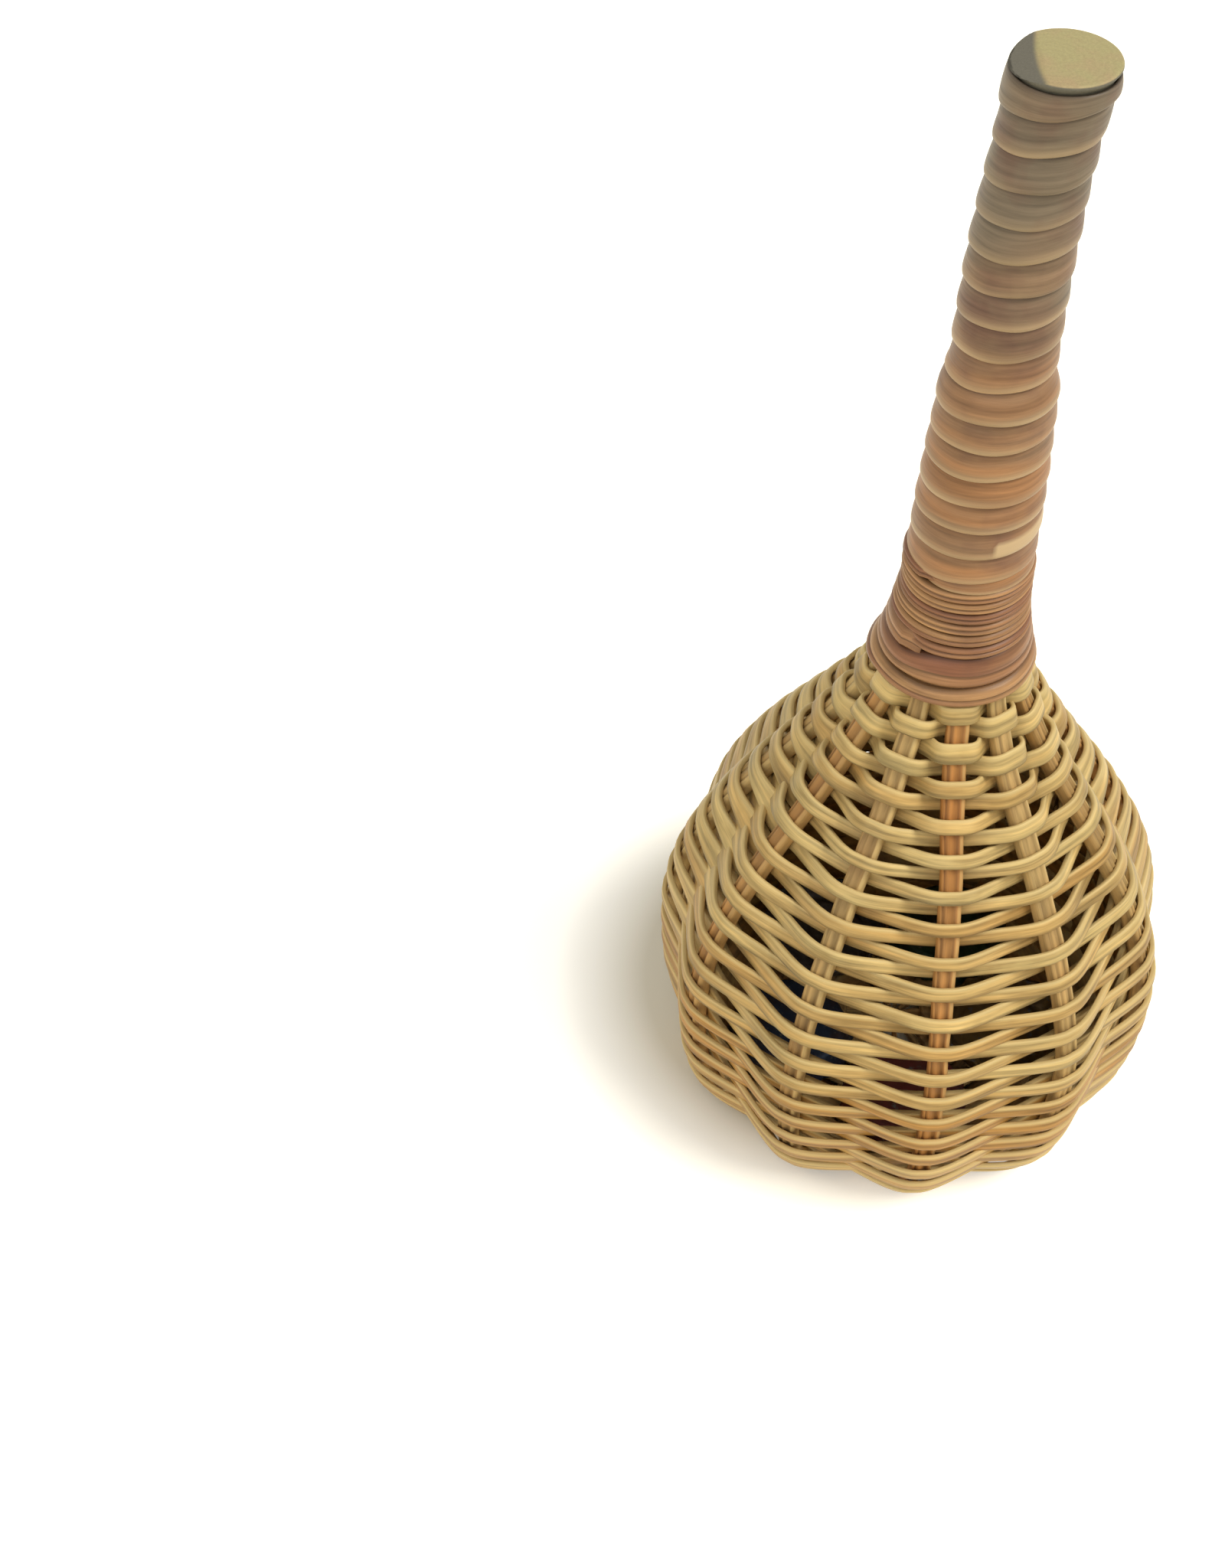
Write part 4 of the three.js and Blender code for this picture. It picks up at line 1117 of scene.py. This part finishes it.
def make_tack():
    bottom = WRAP_TOP - WRAP_WIDTH - TACK_LEAD * wrap.pitch
    middle = bottom + WRAP_WIDTH / 2
    angle = wrap.start + wrap.loops_to(bottom) * TURN
    seat = seat_radius(middle) + WRAP_THICKNESS
    dome = np.linspace(0, math.pi / 2, TACK_DOME_STEPS)
    shank_radii = [TACK_POINT_RADIUS, TACK_SHANK_RADIUS, TACK_SHANK_RADIUS, TACK_HEAD_RADIUS - TACK_UNDERCUT]
    shank_outs = [-TACK_DEPTH, TACK_POINT_LENGTH - TACK_DEPTH, 0, 0]
    head_radii = np.maximum(TACK_HEAD_RADIUS * np.cos(dome), TACK_POINT_RADIUS)
    head_outs = TACK_RIM + (TACK_HEAD_HEIGHT - TACK_RIM) * np.sin(dome)
    radii = np.concatenate([shank_radii, head_radii])
    outs = np.concatenate([shank_outs, head_outs])
    turn = np.arange(TACK_SIDES) * TURN / TACK_SIDES
    outward = np.array([math.cos(angle), math.sin(angle), 0])
    sideways = np.array([-math.sin(angle), math.cos(angle), 0])
    up = np.array([0, 0, 1])
    ring = np.cos(turn)[:, None] * sideways + np.sin(turn)[:, None] * up
    rings = radii[:, None, None] * ring + (seat + outs)[:, None, None] * outward + middle * up
    tack = tube("wrap_tack_dome", bend(rings), "tack_steel")
    add_to_shaker(tack, "wrap_tack")


make_tack()

# Floor, light and camera, in metres

WORLD_LIGHT = 0.35
# The floor's cream colour is a painted warm tint for the shadow by the basket
SHADE_TINTED_FLOOR_COLOR = (0.9, 0.85, 0.68)
FLOOR_ROUGHNESS = 0.9
FLOOR_REACH = 4.0
FLOOR_DROP = 0.0002
FLOOR_LIFT = 0.55
FLOOR_SHADE_MIDDLE = (-0.012, 0.016, 0.0)
FLOOR_SHADE_ENDS = (0.05, 0.074)
FOCAL_PIXELS = 3000.0
IMAGE_HEIGHT = 2048.0
SENSOR = 36.0
CAMERA_PLACE = (-0.0774, -0.347, 0.4754)
CAMERA_HEADING = math.radians(-0.93)
CAMERA_PITCH = math.radians(42.15)
CAMERA_ROLL = math.radians(0.9)


def seen_ray(tree):
    """1 for rays from the camera and for those that mirror or pass on what it sees, and 0 for light."""
    path = add_node(tree, "ShaderNodeLightPath").outputs
    seen = calculate(tree, "MAXIMUM", path["Is Camera Ray"], path["Is Glossy Ray"])
    return calculate(tree, "MAXIMUM", seen, path["Is Transmission Ray"])


def make_floor():
    """Paper whose cream colour gives the shadow near the basket a painted warm tint. A glow seen only by
    camera, glossy and transmission rays lifts it to white away from the basket, and is left out near it,
    where the floor keeps its shadow.
    """
    mesh = bpy.data.meshes.new("floor")
    signs = ((-1, -1), (1, -1), (1, 1), (-1, 1))
    corners = [(x * FLOOR_REACH, y * FLOOR_REACH, 0) for x, y in signs]
    mesh.from_pydata(corners, [], [(0, 1, 2, 3)])
    floor = bpy.data.objects.new("floor", mesh)
    floor.location.z = -FLOOR_DROP
    bpy.context.scene.collection.objects.link(floor)
    material, tree, shader = new_tree("floor_paper")
    shader.inputs["Base Color"].default_value = rgb(*SHADE_TINTED_FLOOR_COLOR)
    shader.inputs["Roughness"].default_value = FLOOR_ROUGHNESS
    away = add_node(tree, "ShaderNodeVectorMath", {0: object_place(tree), 1: FLOOR_SHADE_MIDDLE},
                    operation="DISTANCE").outputs["Value"]
    lift = remap(tree, away, between=FLOOR_SHADE_ENDS, to=(0.0, FLOOR_LIFT))
    shader.inputs["Emission Color"].default_value = rgb(1, 1, 1)
    tree.links.new(calculate(tree, "MULTIPLY", seen_ray(tree), lift), shader.inputs["Emission Strength"])
    mesh.materials.append(material)


def make_sun(name, toward, strength, softness):
    """Soft light from a direction, at a strength where 1 lights a facing white surface to white."""
    lamp = bpy.data.lights.new(name, "SUN")
    lamp.energy = strength * math.pi
    lamp.angle = math.radians(softness)
    holder = bpy.data.objects.new(name, lamp)
    holder.rotation_euler = Vector(toward).to_track_quat("Z", "Y").to_euler()
    bpy.context.scene.collection.objects.link(holder)


def make_world():
    """Even light from all round, in front of a white background."""
    world = bpy.data.worlds.new("studio")
    world.use_nodes = True
    tree = world.node_tree
    background = tree.nodes["Background"]
    background.inputs["Color"].default_value = rgb(1, 1, 1)
    strength = remap(tree, seen_ray(tree), between=(0.0, 1.0), to=(WORLD_LIGHT, 1.0))
    tree.links.new(strength, background.inputs["Strength"])
    bpy.context.scene.world = world


def make_camera():
    """The photograph's view: its focal length, place and tilt."""
    lens = bpy.data.cameras.new("camera")
    lens.sensor_width = SENSOR
    lens.lens = FOCAL_PIXELS / IMAGE_HEIGHT * SENSOR
    camera = bpy.data.objects.new("camera", lens)
    camera.location = CAMERA_PLACE
    tilt = (Matrix.Rotation(CAMERA_HEADING, 3, "Z") @ Matrix.Rotation(CAMERA_PITCH, 3, "X")
            @ Matrix.Rotation(CAMERA_ROLL, 3, "Z"))
    camera.rotation_euler = tilt.to_euler()
    bpy.context.scene.collection.objects.link(camera)
    bpy.context.scene.camera = camera


make_floor()
make_sun("key", toward=(0.58, -0.22, 0.8), strength=0.66, softness=30)
make_sun("fill", toward=(-0.5, -0.65, 0.65), strength=0.34, softness=70)
make_world()
make_camera()
bpy.context.scene.view_settings.view_transform = "Standard"
